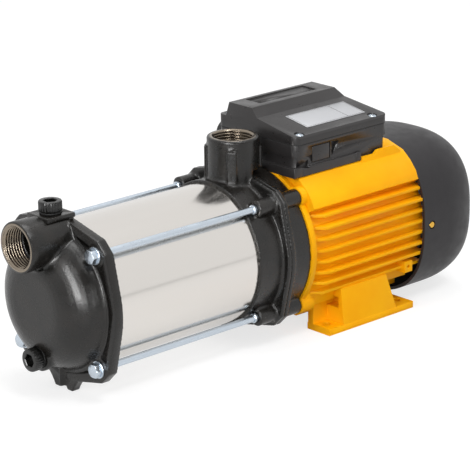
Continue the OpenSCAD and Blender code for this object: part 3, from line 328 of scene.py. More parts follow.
def casting(name, node, t, fills, cuts=()):
    # Cast skin over the node's shape: fine remesh, hollow corners filleted, edges softened.
    piece = solidCopy(name, node)
    for cutter in cuts:
        piece = cut(piece, cutter)
    piece = join(piece, fills)
    remesh = piece.modifiers.new("skin", "REMESH")
    remesh.mode, remesh.voxel_size = "VOXEL", t["voxel"] * mm
    mesh = evaluated(name, piece)
    softened(mesh, t["fillet"], t["rounds"])
    shade(mesh, 60)
    print(name, len(mesh.polygons), "faces")
    return link(name, mesh)


def dress(piece, node):
    # Looks, rides, replaces and takes its slot as the node does.
    piece.data.materials.clear()
    piece.data.materials.append(finishes[slotOf[node]])
    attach(piece, nodes[node]["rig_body"])
    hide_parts(node)


def dressLoose(piece, finish):
    # A piece that stands for no node of its own
    piece.data.materials.append(finish)
    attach(piece, "root")


# Finishes

patches = {
    # Part of a noise pattern's range that is spread over the whole change
    "low": 0.3, "high": 0.7, "tintLow": 0.35, "tintHigh": 0.65,
    # Size of a patch in grains, and how far its roughness strays from the finish's own
    "grainsPerPatch": 12, "spread": 0.06,
}


def newFinish(name, colour, metallic=0, roughness=0.5, **values):
    material = bpy.data.materials.new(name)
    material.use_nodes = True
    tree = material.node_tree
    tree.nodes.clear()
    out = addNode(tree, "ShaderNodeOutputMaterial")
    shader = addNode(tree, "ShaderNodeBsdfPrincipled",
                     {"Base Color": toLinear(colour), "Metallic": metallic, "Roughness": roughness})
    for socket, value in values.items():
        shader.inputs[socket.replace("_", " ")].default_value = value
    tree.links.new(shader.outputs[0], out.inputs[0])
    material.diffuse_color = toLinear(colour)
    return material, tree, shader


def addNoise(tree, mapping, size, detail, **more):
    # Pattern of a real size in mm
    return addNode(tree, "ShaderNodeTexNoise", {"Scale": 1 / (size * mm), "Detail": detail, **more},
                   {"Vector": mapping.outputs[0]})


def grain(tree, shader, size, depth, stretch=(1, 1, 1), detail=3):
    # Bump of a real size in mm, on the piece's own coordinates.
    where = addNode(tree, "ShaderNodeTexCoord")
    mapping = addNode(tree, "ShaderNodeMapping", {"Scale": stretch}, {"Vector": where.outputs["Object"]})
    noise = addNoise(tree, mapping, size, detail, Roughness=0.6)
    bump = addNode(tree, "ShaderNodeBump", {"Distance": depth * mm, "Strength": 1},
                   {"Height": noise.outputs["Fac"]})
    tree.links.new(bump.outputs[0], shader.inputs["Normal"])
    return mapping


def varied(tree, mapping, shader, size, low, high):
    # Slow change of roughness over the surface.
    noise = addNoise(tree, mapping, size, 2)
    spread = addNode(tree, "ShaderNodeMapRange",
                     {"From Min": patches["low"], "From Max": patches["high"], "To Min": low, "To Max": high},
                     {"Value": noise.outputs["Fac"]})
    tree.links.new(spread.outputs[0], shader.inputs["Roughness"])


def tinted(tree, mapping, shader, size, low, high):
    # Slow change of colour between two shades.
    noise = addNoise(tree, mapping, size, 3)
    ramp = addNode(tree, "ShaderNodeValToRGB", None, {"Fac": noise.outputs["Fac"]})
    stops = zip(ramp.color_ramp.elements, (patches["tintLow"], patches["tintHigh"]), (low, high))
    for stop, at, colour in stops:
        stop.position, stop.color = at, toLinear(colour)
    tree.links.new(ramp.outputs[0], shader.inputs["Base Color"])


def plainFinish(name, colour, metallic, roughness, size, depth, **values):
    material, tree, shader = newFinish(name, colour, metallic, roughness, **values)
    mapping = grain(tree, shader, size, depth)
    spread = patches["spread"]
    varied(tree, mapping, shader, size * patches["grainsPerPatch"], roughness - spread, roughness + spread)
    return material


def blackEnamel():
    # Cast iron under black stove enamel: the sand's grain still shows as sparkle in the highlights.
    # The real grain is finer than 1 mm and is drawn coarser so that it shows.
    material, tree, shader = newFinish("castIronEnamel", "161412", 0, 0.27, Specular_IOR_Level=0.46)
    mapping = grain(tree, shader, 1.0, 0.11)
    varied(tree, mapping, shader, 9, 0.2, 0.32)
    tinted(tree, mapping, shader, 14, "12110f", "1c1916")
    return material


def yellowPaint():
    # Die cast aluminium under yellow powder paint: orange peel of about 1.6 mm softens the lamps
    material, tree, shader = newFinish("yellowPowderPaint", "fbb20c", 0, 0.4, Specular_IOR_Level=0.13)
    mapping = grain(tree, shader, 1.6, 0.035, detail=2)
    varied(tree, mapping, shader, 12, 0.36, 0.48)
    tinted(tree, mapping, shader, 30, "faac04", "fdb708")
    return material


def barrelSteel():
    # Polished stainless sheet: long soft reflections and faint rolling lines along the tube,
    # which are drawn 0.5 mm wide so that they show
    material, tree, shader = newFinish("polishedStainless", "dedad5", 1, 0.16)
    mapping = grain(tree, shader, 0.5, 0.004, (0.04, 1, 1))
    varied(tree, mapping, shader, 8, 0.13, 0.2)
    return material


def machinedMetal():
    # Turned port faces and thread, grey with a warm cast: fine tool marks
    material, tree, shader = newFinish("machinedNickel", "8e8375", 1, 0.22)
    mapping = grain(tree, shader, 0.35, 0.003)
    varied(tree, mapping, shader, 3, 0.16, 0.26)
    return material


finishes = {
    "black_casting": blackEnamel(),
    "yellow_paint": yellowPaint(),
    "polished_stainless": barrelSteel(),
    # Zinc plate over steel: bluish, with soft blotches of the passivation
    "zinc_steel": plainFinish("zincPlatedSteel", "c6d0da", 1, 0.3, 0.7, 0.01),
    # Zinc with a yellow passivation: brassy, a little blurred
    "brass_screws": plainFinish("yellowZinc", "e0b04c", 1, 0.3, 0.5, 0.01),
    # Glass filled nylon, moulded: nearly black, with sharp small highlights
    "black_plastic": plainFinish("mouldedNylon", "0e0e0d", 0, 0.25, 0.8, 0.02, Specular_IOR_Level=0.5),
    # Moulded polypropylene: dark grey and dull, lamps show only as a haze
    "cover_plastic": plainFinish("mouldedPolypropylene", "252325", 0, 0.44, 0.7, 0.03,
                                 Specular_IOR_Level=0.35),
    # Moulded ABS: satin, with broad highlights along the rounded edges
    "box_plastic": plainFinish("mouldedAbs", "2b2929", 0, 0.33, 0.6, 0.03, Specular_IOR_Level=0.42),
    # Nitrile rubber: dull black
    "black_rubber": plainFinish("nitrileRubber", "0e0e0e", 0, 0.7, 0.6, 0.02),
    # Pressed stainless sheet: grey, soft reflections
    "pressed_stainless": plainFinish("pressedStainless", "c4c3c0", 1, 0.32, 0.6, 0.01),
    # Filled polymer of the impellers: tan and half dull
    "moulded_polymer": plainFinish("mouldedImpellerPolymer", "b29a72", 0, 0.45, 0.8, 0.02),
    # Turned stainless bar: clear highlights, fine tool marks
    "turned_stainless": plainFinish("turnedStainless", "bdbdbb", 1, 0.25, 0.3, 0.008),
    # Lapped ceramic: ivory, smooth as glass
    "seal_ceramic": plainFinish("lappedCeramic", "ebe8df", 0, 0.2, 0.5, 0.002),
    # Ground bearing steel: nearly a mirror
    "bearing_steel": plainFinish("groundBearingSteel", "c9cacb", 1, 0.14, 0.4, 0.002),
    # Stamped laminations: dark grey, dull
    "lamination_steel": plainFinish("stampedLaminations", "6f7074", 1, 0.45, 0.5, 0.02),
    # Varnished copper wire: reddish and uneven
    "copper_wire": plainFinish("varnishedCopper", "a65a2e", 1, 0.35, 0.8, 0.12),
    # Bare die cast aluminium: pale grey, half dull
    "cast_aluminium": plainFinish("dieCastAluminium", "a9aaab", 1, 0.48, 0.9, 0.04),
    # Moulded phenolic: ivory, satin
    "ivory_plastic": plainFinish("mouldedPhenolic", "d8d2bf", 0, 0.4, 0.8, 0.02),
    # Shrunk sleeve of the capacitor: light grey, satin
    "grey_plastic": plainFinish("capacitorSleeve", "b4b4b2", 0, 0.4, 0.8, 0.02),
    # Printed plate left blank: silver lacquer over aluminium
    "bare_aluminium": plainFinish("silverPlate", "b9babd", 0.35, 0.38, 0.4, 0.01),
}
machined = machinedMetal()
for name, node in nodes.items():
    for slotPlace in node.material_slots:
        slotPlace.material = finishes[slotOf[name]]
print("finishes made")


# Pipe thread in the two ports

pipeThread = {
    "crest": 15.15, "root": 16.55, "pitch": 2.309, "length": 19.6, "chamfer": 1.3,
    "runOut": 2.5,  # the thread fades over this much at its inner end
    "rim": 18.2, "edge": 0.25, "lip": 1.6, "sleeve": 17.2,
    "steps": 144, "rows": 156,
    "suctionAt": (-304.25, 0, 118.8, "X"), "outletAt": (-92.2, 0, 161.15, "-Z"),
}


def threadSleeve(name, where, t):
    depth = t["root"] - t["crest"]

    def column(turn):
        loop = []
        for k in range(t["rows"] + 1):
            a = t["length"] * k / t["rows"]
            phase = a / t["pitch"] - turn / (2 * math.pi)
            wave = 0.5 + 0.5 * math.cos(2 * math.pi * phase)
            fade = min(1, (t["length"] - a) / t["runOut"])
            loop.append((t["crest"] + max(depth * wave * fade, t["chamfer"] - a), a))
        loop += [(t["sleeve"], t["length"]), (t["sleeve"], t["lip"]), (t["rim"], t["lip"])]
        return loop + [(t["rim"], t["edge"]), (t["rim"] - t["edge"], 0)]

    return turned(name, where, column, t["steps"], 70)


suctionThread = threadSleeve("suctionPortThread", place(*pipeThread["suctionAt"]), pipeThread)
outletThread = threadSleeve("outletPortThread", place(*pipeThread["outletAt"]), pipeThread)
for piece in (suctionThread, outletThread):
    dressLoose(piece, machined)


# Castings of the pump

rodOffset = 43.7  # each tie rod stands this far from the shaft, across and up

suction = {
    "voxel": 0.92, "fillet": 10, "rounds": 3,
    "spigot": (-265, -254, 51), "chamber": (-284, -264, 30), "mouth": (-306, -284.5),
    "past": 2, "overlap": 0.5,  # reach of the cutters, and of one piece into the next
    "proud": 0.12, "lift": 0.1,  # reach of the plate and of the collars over the cast skin
    # Flange with its lobes and the holes of the rods
    "front": -266.5, "back": -258.5, "flange": 63.4, "near": 45.6, "far": 54.5, "arcPoints": 9,
    "plateBore": 55.7, "plateEdge": 1.0, "plateBack": 0.02, "rodHole": 3,
    "bead": 54.7, "beadRound": 0.9, "beadSinkShare": 0.2, "beadPoints": 12, "beadSteps": 160,
    # Pad of the priming plug
    "padFront": -284.4, "padWide": 24.6, "padTop": 138.6, "padLow": 134.9, "padEdge": 0.7, "padShort": 0.3,
    "clearHalf": 13.5, "clearFront": 1,
    "stepIn": 1.6, "stepHalf": 10.9, "stepLow": 124, "stepEdge": 0.6,
    "plugX": -272.1, "plugHole": 5.8, "plugLow": (128, 120), "plugHigh": 142,
    # Port along the shaft, its axis measured from the shaft
    "portAxis": 47.8, "portRound": 19.4, "portFront": -304.2, "portBore": 13.2, "portMouth": 6,
    "portEdge": 1.3, "bodyStart": 16, "bodyEnd": 3, "bodyEdge": 0.1,
    "seat": pipeThread["sleeve"] - 0.1, "seatGap": 0.4,
    "drainFront": -287.8, "drainBack": -281, "drainAxis": 30, "drainRound": 10.4, "drainHole": 6.2,
    "drainEdge": 0.8,
    # Web under the dome with a rib at each side
    "webFront": -296, "webBack": -281, "webHalf": 12.9, "webLow": 101, "webTop": 103.3, "webEdge": 0.5,
    "ribInner": 10.4, "ribLift": 0.6, "ribTop": 107,
}
discharge = {
    "voxel": 0.84, "fillet": 10, "rounds": 3,
    "spigot": (-126, -93, 51), "outlet": (-92.2, 141.3, 163),
}
bracket = {"voxel": 0.8, "fillet": 12, "rounds": 3, "spigot": (-83.8, -63.5, 48)}


def lobedOutline(t):
    # Flange that reaches out to the tie rods: arcs of a circle between four cut corners
    reach = math.hypot(t["near"], t["far"])
    low = math.degrees(math.atan2(t["near"], t["far"]))
    half = low - math.degrees(math.acos(t["flange"] / reach))
    points = []
    for start in (0, 90, 180, 270):
        points += [(start + a, t["flange"]) for a in np.linspace(-half, half, t["arcPoints"])]
        points += [(start + low, reach), (start + 90 - low, reach)]
    proud = [(math.radians(a), r + t["proud"]) for a, r in points]
    return [(r * math.cos(a), shaft + r * math.sin(a)) for a, r in proud]


def collarAt(name, x0, x1, outer, inner, z, edge):
    # Round collar along the shaft, z measured from the shaft
    loop = [(inner, 0), (outer - edge, 0), (outer - edge * 0.3, edge * 0.3), (outer, edge),
            (outer, x1 - x0), (inner, x1 - x0)]
    return turned(name, place(x0, 0, shaft + z, "X"), lambda turn: loop)


def beadLoop(t):
    r, turns = t["beadRound"], [2 * math.pi * k / t["beadPoints"] for k in range(t["beadPoints"])]
    return [(t["bead"] + r * math.cos(a), r * t["beadSinkShare"] - r * math.sin(a)) for a in turns]


def plugHoleCutter(t, low):
    return upright(t["plugX"], low, t["plugHigh"], t["plugHole"])


def suctionSkin(t):
    low = shaft + t["portAxis"]
    clearing = block("cutter", (t["padFront"] - t["clearFront"], t["back"] + t["overlap"]),
                     (-t["clearHalf"], t["clearHalf"]), (low, t["padTop"] + t["past"]))
    body = collarAt("filler", t["portFront"] + t["bodyStart"], t["front"] + t["bodyEnd"], t["portRound"],
                    t["portBore"], t["portAxis"], t["bodyEdge"])
    body = cut(body, plugHoleCutter(t, t["plugLow"][0]))
    return casting("suctionCasingCast", "suction_casing", t,
                   fills=[rod(*t["spigot"]), rod(*t["chamber"]), body],
                   cuts=[rod(*t["mouth"], t["seat"], 0, t["portAxis"]), clearing])


def primingPad(t):
    half, (upper, lower) = t["padWide"] / 2, t["plugLow"]
    pad = block("padPlate", (t["padFront"], t["back"] - t["padShort"]), (-half, half),
                (t["padLow"], t["padTop"]), t["padEdge"])
    pad = cut(pad, plugHoleCutter(t, upper))
    foot = block("padFoot", (t["padFront"] + t["stepIn"], t["back"] - 2 * t["padShort"]),
                 (-t["stepHalf"], t["stepHalf"]), (t["stepLow"], t["padLow"] + t["overlap"]), t["stepEdge"])
    foot = cut(foot, plugHoleCutter(t, lower))
    foot = cut(foot, rod(t["padFront"] - t["past"], t["back"] + t["past"], t["portBore"], 0, t["portAxis"]))
    return [pad, foot]


def flangePlate(t):
    start, end = t["front"] - t["past"], t["back"] + t["past"]
    plate = slab("flangePlate", lobedOutline(t), t["front"] - t["proud"], t["back"] + t["plateBack"],
                 t["plateEdge"])
    plate = cut(plate, rod(start, end, t["plateBore"]))
    for y in (-rodOffset, rodOffset):
        for z in (-rodOffset, rodOffset):
            plate = cut(plate, rod(start, end, t["rodHole"], y, z))
    bead = turned("bead", place(t["front"], 0, shaft, "X"), lambda turn: beadLoop(t), t["beadSteps"])
    return [plate, bead]


def collars(t):
    drain = collarAt("drainCollar", t["drainFront"] - t["lift"] / 2, t["drainBack"],
                     t["drainRound"] + t["lift"], t["drainHole"], t["drainAxis"] - shaft, t["drainEdge"])
    mouth = collarAt("portCollar", t["portFront"], t["portFront"] + t["portMouth"],
                     t["portRound"] + t["lift"], t["seat"] + t["seatGap"], t["portAxis"], t["portEdge"])
    return [drain, mouth]


def web(t):
    x, half = (t["webFront"], t["webBack"]), t["webHalf"]
    plates = [block("webPlate", x, (-half, half), (t["webLow"], t["webTop"]), t["webEdge"])]
    for y in ((-half, -t["ribInner"]), (t["ribInner"], half)):
        plates.append(block("webSide", x, y, (t["webLow"] + t["ribLift"], t["ribTop"]), t["webEdge"]))
    return plates


suctionCast = suctionSkin(suction)
for addOn in (primingPad, flangePlate, collars, web):
    suctionCast = join(suctionCast, addOn(suction))
dress(suctionCast, "suction_casing")
dischargeCast = casting(
    "dischargeCasingCast", "discharge_casing", discharge,
    fills=[rod(*discharge["spigot"])],
    cuts=[upright(*discharge["outlet"], suction["seat"])])
dress(dischargeCast, "discharge_casing")
bracketCast = casting("motorBracketCast", "motor_bracket", bracket, fills=[rod(*bracket["spigot"])])
dress(bracketCast, "motor_bracket")
print("castings made")


# Barrel, tie rods and washers

barrel = {"start": -263.5, "end": -112.8, "outer": 55.65, "inner": 54.15, "edge": 0.3, "steps": 192}
tieRod = {
    "flats": 10, "head": 4.6, "crownShare": 0.475, "drops": (0, 0.2, 0.4, 0.6), "slope": 1.6,
    "radius": 2.7, "start": -268.5, "end": -57.6, "point": 0.5,
}
washer = {"start": -268.5, "outer": 6.6, "inner": 2.75, "thick": 1.4, "edge": 0.2}
rodCollar = {"start": -113.8, "outer": 3.8, "inner": 2.75, "thick": 3, "edge": 0.4}


def ringLoop(outer, inner, thick, edge):
    return [(inner, 0), (outer - edge, 0), (outer, edge),
            (outer, thick - edge), (outer - edge, thick), (inner, thick)]


def barrelTube(t):
    loop = ringLoop(t["outer"], t["inner"], t["end"] - t["start"], t["edge"])
    return turned("barrelTube", place(t["start"], 0, shaft, "X"), lambda turn: loop, t["steps"])


dress(barrelTube(barrel), "barrel")


def hexRadius(turn, flats):
    return flats / 2 / math.cos((turn + math.pi / 6) % (math.pi / 3) - math.pi / 6)


def repeatTree():
    # Copies of a piece on a grid, made real and given their finish.
    tree = bpy.data.node_groups.new("repeatOnGrid", "GeometryNodeTree")
    sockets = [("Piece", "Geometry"), ("Size Across", "Float"), ("Size Up", "Float"), ("Count Across", "Int"),
               ("Count Up", "Int"), ("Centre", "Vector"), ("Turn", "Vector"), ("Finish", "Material")]
    for name, kind in sockets:
        tree.interface.new_socket(name, in_out="INPUT", socket_type="NodeSocket" + kind)
    tree.interface.new_socket("Geometry", in_out="OUTPUT", socket_type="NodeSocketGeometry")
    given = addNode(tree, "NodeGroupInput").outputs
    grid = addNode(tree, "GeometryNodeMeshGrid", None, {
        "Size X": given["Size Across"], "Size Y": given["Size Up"],
        "Vertices X": given["Count Across"], "Vertices Y": given["Count Up"]})
    moved = addNode(tree, "GeometryNodeTransform", None, {
        "Geometry": grid.outputs["Mesh"], "Translation": given["Centre"], "Rotation": given["Turn"]})
    copies = addNode(tree, "GeometryNodeInstanceOnPoints", None, {
        "Points": moved.outputs[0], "Instance": given["Piece"]})
    real = addNode(tree, "GeometryNodeRealizeInstances", None, {"Geometry": copies.outputs[0]})
    painted = addNode(tree, "GeometryNodeSetMaterial", None, {
        "Geometry": real.outputs[0], "Material": given["Finish"]})
    addNode(tree, "NodeGroupOutput", None, {"Geometry": painted.outputs[0]})
    return tree


repeatOnGrid = repeatTree()
rodGrid = {
    "Size Across": 2 * rodOffset * mm, "Size Up": 2 * rodOffset * mm, "Count Across": 2, "Count Up": 2,
    "Centre": [0, 0, shaft * mm], "Turn": [math.radians(90), 0, math.radians(90)],
    "Finish": finishes["zinc_steel"],
}


def atRods(name, piece):
    # One copy at each tie rod
    modifier = piece.modifiers.new("repeat", "NODES")
    modifier.node_group = repeatOnGrid
    sockets = repeatOnGrid.interface.items_tree
    keys = {item.name: item.identifier for item in sockets if item.in_out == "INPUT"}
    for key, value in rodGrid.items():
        modifier[keys[key]] = value
    return settled(name, piece)


def hexBolt(t):
    def column(turn):
        corner, length = hexRadius(turn, t["flats"]), t["end"] - t["start"]
        loop = [(0, -t["head"])]
        for drop in t["drops"]:
            loop.append((min(corner, t["flats"] * t["crownShare"] + drop * t["slope"]), drop - t["head"]))
        loop += [(corner, 0), (t["radius"], 0), (t["radius"], length - t["point"])]
        return loop + [(t["radius"] - t["point"], length), (0, length)]

    return turned("oneRod", place(t["start"], 0, 0, "X"), column)


def ring(name, t):
    loop = ringLoop(t["outer"], t["inner"], t["thick"], t["edge"])
    return turned(name, place(t["start"], 0, 0, "X"), lambda turn: loop, 72)


dress(atRods("tieRodSet", hexBolt(tieRod)), "tie_rods")
washers = join(ring("oneWasher", washer), [ring("oneCollar", rodCollar)])
dress(atRods("tieRodWasherSet", washers), "tie_rod_washers")
print("barrel and rods made")


# Plugs

plug = {
    "knob": 8.8, "height": 8, "knurls": 30, "knurl": 0.28, "knurlPower": 0.7, "edge": 0.5,
    "socket": 9.2, "socketRound": 5.2, "deep": 5,
    "shank": 5.66, "root": 4.95, "length": 8.5, "pitch": 1.337, "lead": 0.6,
    "runOut": 3, "tipShare": 0.4,  # rows over which the thread fades, and what stays of it at the tip
    "steps": 240, "rows": 40,
}
plugRing = {"outer": 8.2, "inner": 5.95, "thick": 1.4, "edge": 0.35}
plugSeats = {
    "priming": (suction["plugX"], 0, suction["padTop"], "Z"),
    "drain": (suction["drainFront"], 0, suction["drainAxis"], "-X"),
}


def plugLoop(turn, t):
    knob, top, edge = t["knob"], t["height"], t["edge"]
    ridge = knob - t["knurl"] * (0.5 - 0.5 * math.cos(turn * t["knurls"])) ** t["knurlPower"]
    hollow = min(hexRadius(turn, t["socket"]), t["socketRound"])
    loop = [(0, top - t["deep"]), (hollow, top - t["deep"]), (hollow, top - edge), (hollow + edge, top),
            (knob - 2 * edge, top), (knob - edge, top - 0.3 * edge), (ridge, top - 1.8 * edge),
            (ridge, 2.2 * edge), (knob - 0.8 * edge, edge), (knob - 1.2 * edge, 0), (t["shank"], 0)]
    for k in range(t["rows"] + 1):
        a = -t["lead"] - (t["length"] - t["lead"]) * k / t["rows"]
        wave = 0.5 - 0.5 * math.cos(2 * math.pi * (a / t["pitch"] - turn / (2 * math.pi)))
        fade = min(1, k / t["runOut"], (t["rows"] - k) / t["runOut"] + t["tipShare"])
        loop.append((t["shank"] - (t["shank"] - t["root"]) * wave * fade, a))
    return loop + [(0, -t["length"])]


for name, spot in plugSeats.items():
    onRing = place(*spot) @ Matrix.Translation((0, 0, plugRing["thick"]))
    knob = turned(name + "PlugKnob", onRing, lambda turn: plugLoop(turn, plug), plug["steps"], 30)
    dress(knob, name + "_plug")
for name, spot in plugSeats.items():
    dress(turned(name + "PlugRing", place(*spot), lambda turn: ringLoop(**plugRing)), name + "_ring")
print("plugs made")


# Motor: the width of the broken edges, their segments and the angle from which an edge is broken

motorCopies = [
    ("motorHousingShell", "motor_housing", 0.6, 2, 40),
    ("footNear", "foot_left", 0.9, 3, 30),
    ("footFar", "foot_right", 0.9, 3, 30),
    ("footScrewSet", "foot_screws", 0.3),
    ("rearShieldCast", "rear_shield", 0.4),
    ("rearShieldScrewSet", "rear_shield_screws", 0.3),
    ("coolingFanWheel", "cooling_fan", 0.3),
]
for name, node, *edges in motorCopies:
    dress(edgedCopy(name, node, *edges), node)

cover = {
    "start": 55.5, "length": 68, "half": 66, "wall": 2.4, "drop": 3.2, "power": 2.55,
    "straight": 0.42, "end": 0.76, "sides": 160, "steps": 22,
    "ventPitch": 6.4, "ventWide": 3.2, "ventReach": 38, "ventArc": 8, "ventCut": (-8, 4),
    "vents": 5, "spine": 3,
    "screwX": 64.4, "screwFrom": 50, "shank": (2.05, 14.7), "head": (3.5, 20),
}


def coverRings(t, half, length):
    rows = [(0, half)]
    for i in range(t["steps"] + 1):
        turn = math.pi / 2 * i / t["steps"]
        rows.append((length * (t["straight"] + (1 - t["straight"]) * math.sin(turn)),
                     half * (t["end"] + (1 - t["end"]) * math.cos(turn))))
    points = []
    for x, wide in rows:
        for i in range(t["sides"]):
            turn = 2 * math.pi * i / t["sides"]
            c, s = math.cos(turn), math.sin(turn)
            reach = wide / (abs(c) ** t["power"] + abs(s) ** t["power"]) ** (1 / t["power"])
            points.append((t["start"] + x, reach * c, shaft + reach * s - t["drop"]))
    return points, len(rows)


def fanCover(t):
    outer, rows = coverRings(t, t["half"], t["length"])
    inner, rows = coverRings(t, t["half"] - t["wall"], t["length"] - t["wall"])
    n, inside = t["sides"], len(outer)
    faces = []
    for i in range(n):
        j = (i + 1) % n
        faces.append((i, j, inside + j, inside + i))
        for row in range(rows - 1):
            a, b = row * n + i, row * n + j
            faces.append((a, a + n, b + n, b))
            faces.append((inside + a, inside + b, inside + b + n, inside + a + n))
    faces.append(tuple((rows - 1) * n + i for i in range(n)))
    faces.append(tuple(inside + (rows - 1) * n + i for i in reversed(range(n))))
    return meshPiece("fanCoverShell", outer + inner, faces, 40)


def slotCutters(t):
    # Upright slots with round ends through the cover's end wall.
    end, wide = t["start"] + t["length"], t["ventWide"] / 2
    arc = [math.pi * k / t["ventArc"] for k in range(t["ventArc"] + 1)]
    points, faces = [], []
    for i in range(-t["vents"], t["vents"] + 1):
        y = i * t["ventPitch"]
        reach = math.sqrt(t["ventReach"] ** 2 - y ** 2 + t["ventWide"] ** 2)
        near, far = t["spine"] / 2 + wide, reach - wide
        for side in (-1, 1):
            rim = [(y + wide * math.cos(a), side * (far + wide * math.sin(a))) for a in arc]
            rim += [(y - wide * math.cos(a), side * (near - wide * math.sin(a))) for a in arc]
            faces += prismFaces(len(rim), len(points))
            for past in t["ventCut"]:
                points += [(end + past, p, shaft - t["drop"] + q) for p, q in rim]
    return meshPiece("slotCutters", points, faces)


def screwHoles(t):
    # Stepped holes for the four screws at the cover's rim
    (r, shank), (wide, head), middle = t["shank"], t["head"], shaft - t["drop"]
    loop = [(0, 0), (r, 0), (r, shank), (wide, shank), (wide, head), (0, head)]
    holes = []
    for toward, y, z in (("Y", 1, 0), ("-Y", -1, 0), ("Z", 0, 1), ("-Z", 0, -1)):
        where = place(t["screwX"], y * t["screwFrom"], middle + z * t["screwFrom"], toward)
        holes.append(turned("hole", where, lambda turn: loop, 48))
    return join(holes[0], holes[1:])


coverShell = cut(cut(fanCover(cover), slotCutters(cover)), screwHoles(cover))
shade(coverShell.data, 40)
dress(coverShell, "fan_cover")
dress(edgedCopy("coverScrewSet", "fan_cover_screws", 0.25), "fan_cover_screws")
print("motor made")


# Terminal box

box = {
    "near": -41.5, "edge": 0.5, "outside": -45,
    "panel": (-46.6, -28.2), "panelRise": (138.4, 150.6), "panelEdge": 0.35, "panelIn": 0.25,
    "panelBack": -36, "line": 0.7, "lineDeep": 1.7,
    "pocket": [(-26.7, 151.2), (-18, 150.2), (-24.6, 138.8)], "pocketDeep": 3.2,
    "notch": [(-62, 136.6), (-50.6, 141.2), (-50.6, 134.4)], "notchDeep": 3,
    "ledgeEnds": [(-66.8, -58.5), (0.6, 6.3)], "ledgeRise": (129.2, 136.7),
    "ledgeOut": 0.75, "ledgeBack": -40,
}
panHead = {
    "radius": 3.7, "height": 2.4, "slot": 1.0, "reach": 2.3, "deep": 1.3, "shank": 1.95, "length": 16,
    "domeShares": [(1, 0.45), (0.9, 0.75), (0.68, 0.94), (0.4, 1)],
    "spots": [(-56, -36.1, 159.1), (24.4, -36.1, 159.1), (-56, 42.1, 162.3), (24.4, 42.1, 162.3)],
}
lidPanel = {
    "x": (-47.3, 14.7), "y": (16.8, 33.1), "floor": 174.1, "line": 0.7, "deep": 0.9, "over": 0.3, "edge": 1.1,
}
plate = {
    "corner": (-41, -39.9, 161), "tilt": 9.42, "start": 10.2, "wide": 25, "long": 64, "thick": 0.4,
    "margin": 0.9, "line": 0.22, "rule": 45.5, "ruleShare": 1.6, "proud": 0.04, "foot": 0.1,
}


def boxBase(t):
    near, (x0, x1), (low, high), line = t["near"], t["panel"], t["panelRise"], t["line"]
    base = edgedCopy("terminalBoxTub", "terminal_box_base", t["edge"], 3)
    panel = block("knockPanel", t["panel"], (near + t["panelIn"], t["panelBack"]), t["panelRise"],
                  t["panelEdge"])
    groove = block("groove", (x0 - line, x1 + line), (t["outside"], near + t["lineDeep"]),
                   (low - line, high + line))
    base = cut(base, groove)
    for name in ("pocket", "notch"):
        base = cut(base, prism(name, t[name], t["outside"], near + t[name + "Deep"]))
    ends = [block("ledgeEnd", x, (near - t["ledgeOut"], t["ledgeBack"]), t["ledgeRise"], t["edge"])
            for x in t["ledgeEnds"]]
    base = join(base, [panel, *ends])
    shade(base.data)
    return base


def lidScrews(t):
    # Pan heads with a crossed recess
    heads = []
    r, h = t["radius"], t["height"]
    dome = [(r * share, h * rise) for share, rise in t["domeShares"]]
    loop = [(0, -t["length"]), (t["shank"], -t["length"]), (t["shank"], 0), (r, 0)] + dome + [(0, h)]
    for x, y, z in t["spots"]:
        head = turned("lidScrew", place(x, y, z), lambda turn: loop, 48)
        half, reach, rise = t["slot"] / 2, t["reach"], (z + h - t["deep"], z + h + 1)
        head = cut(head, block("slot", (x - half, x + half), (y - reach, y + reach), rise))
        head = cut(head, block("slot", (x - reach, x + reach), (y - half, y + half), rise))
        heads.append(head)
    return join(heads[0], heads[1:])


def frameCutter(t):
    # Closed frame, as wide as the groove
    (x0, x1), (y0, y1), line = t["x"], t["y"], t["line"]
    outer = [(x0, y0), (x1, y0), (x1, y1), (x0, y1)]
    inner = [(x0 + line, y0 + line), (x1 - line, y0 + line), (x1 - line, y1 - line), (x0 + line, y1 - line)]
    points = [(x, y, z) for z in (t["floor"] - t["deep"], t["floor"] + t["over"]) for x, y in outer + inner]
    faces = []
    for i in range(4):
        j = (i + 1) % 4
        faces += [(i, j, 8 + j, 8 + i), (4 + j, 4 + i, 12 + i, 12 + j),
                  (8 + i, 8 + j, 12 + j, 12 + i), (j, i, 4 + i, 4 + j)]
    return meshPiece("groove", points, faces)


def lidCover(t):
    # The bare panel on top is outlined by a fine groove
    cover = cut(edgedCopy("terminalBoxCover", "terminal_box_lid", t["edge"], 3), frameCutter(t))
    shade(cover.data)
    return cover


def plateRules(t):
    # Fine dark border and one dividing rule on the blank plate
    slope = Matrix.Translation(t["corner"]) @ Matrix.Rotation(math.radians(t["tilt"]), 4, "X")
    line, x0, x1 = t["line"], t["margin"], t["long"] - t["margin"]
    y0, y1 = t["start"] + t["margin"], t["start"] + t["wide"] - t["margin"]
    strips = [(x0, x0 + line, y0, y1), (x1 - line, x1, y0, y1),
              (x0, x1, y0, y0 + line), (x0, x1, y1 - line, y1),
              (t["rule"], t["rule"] + line * t["ruleShare"], y0, y1)]
    points, faces = [], []
    for left, right, low, high in strips:
        faces += prismFaces(4, len(points))
        points += [slope @ Vector((x, y, z)) for z in (t["thick"] + t["proud"], t["foot"])
                   for x, y in ((left, low), (right, low), (right, high), (left, high))]
    return meshPiece("ratingPlateRules", points, faces)


dress(boxBase(box), "terminal_box_base")
dress(lidCover(lidPanel), "terminal_box_lid")
dress(edgedCopy("terminalBoxSeal", "terminal_box_gasket", 0), "terminal_box_gasket")
dress(lidScrews(panHead), "lid_screws")
dress(edgedCopy("glandBody", "cable_gland"), "cable_gland")
dress(edgedCopy("glandCap", "gland_nut", 0.8, 3), "gland_nut")
dress(edgedCopy("ratingPlateSheet", "rating_plate", 0.1), "rating_plate")
dressLoose(plateRules(plate), finishes["black_plastic"])
print("terminal box made")


# Floor, world and lamps

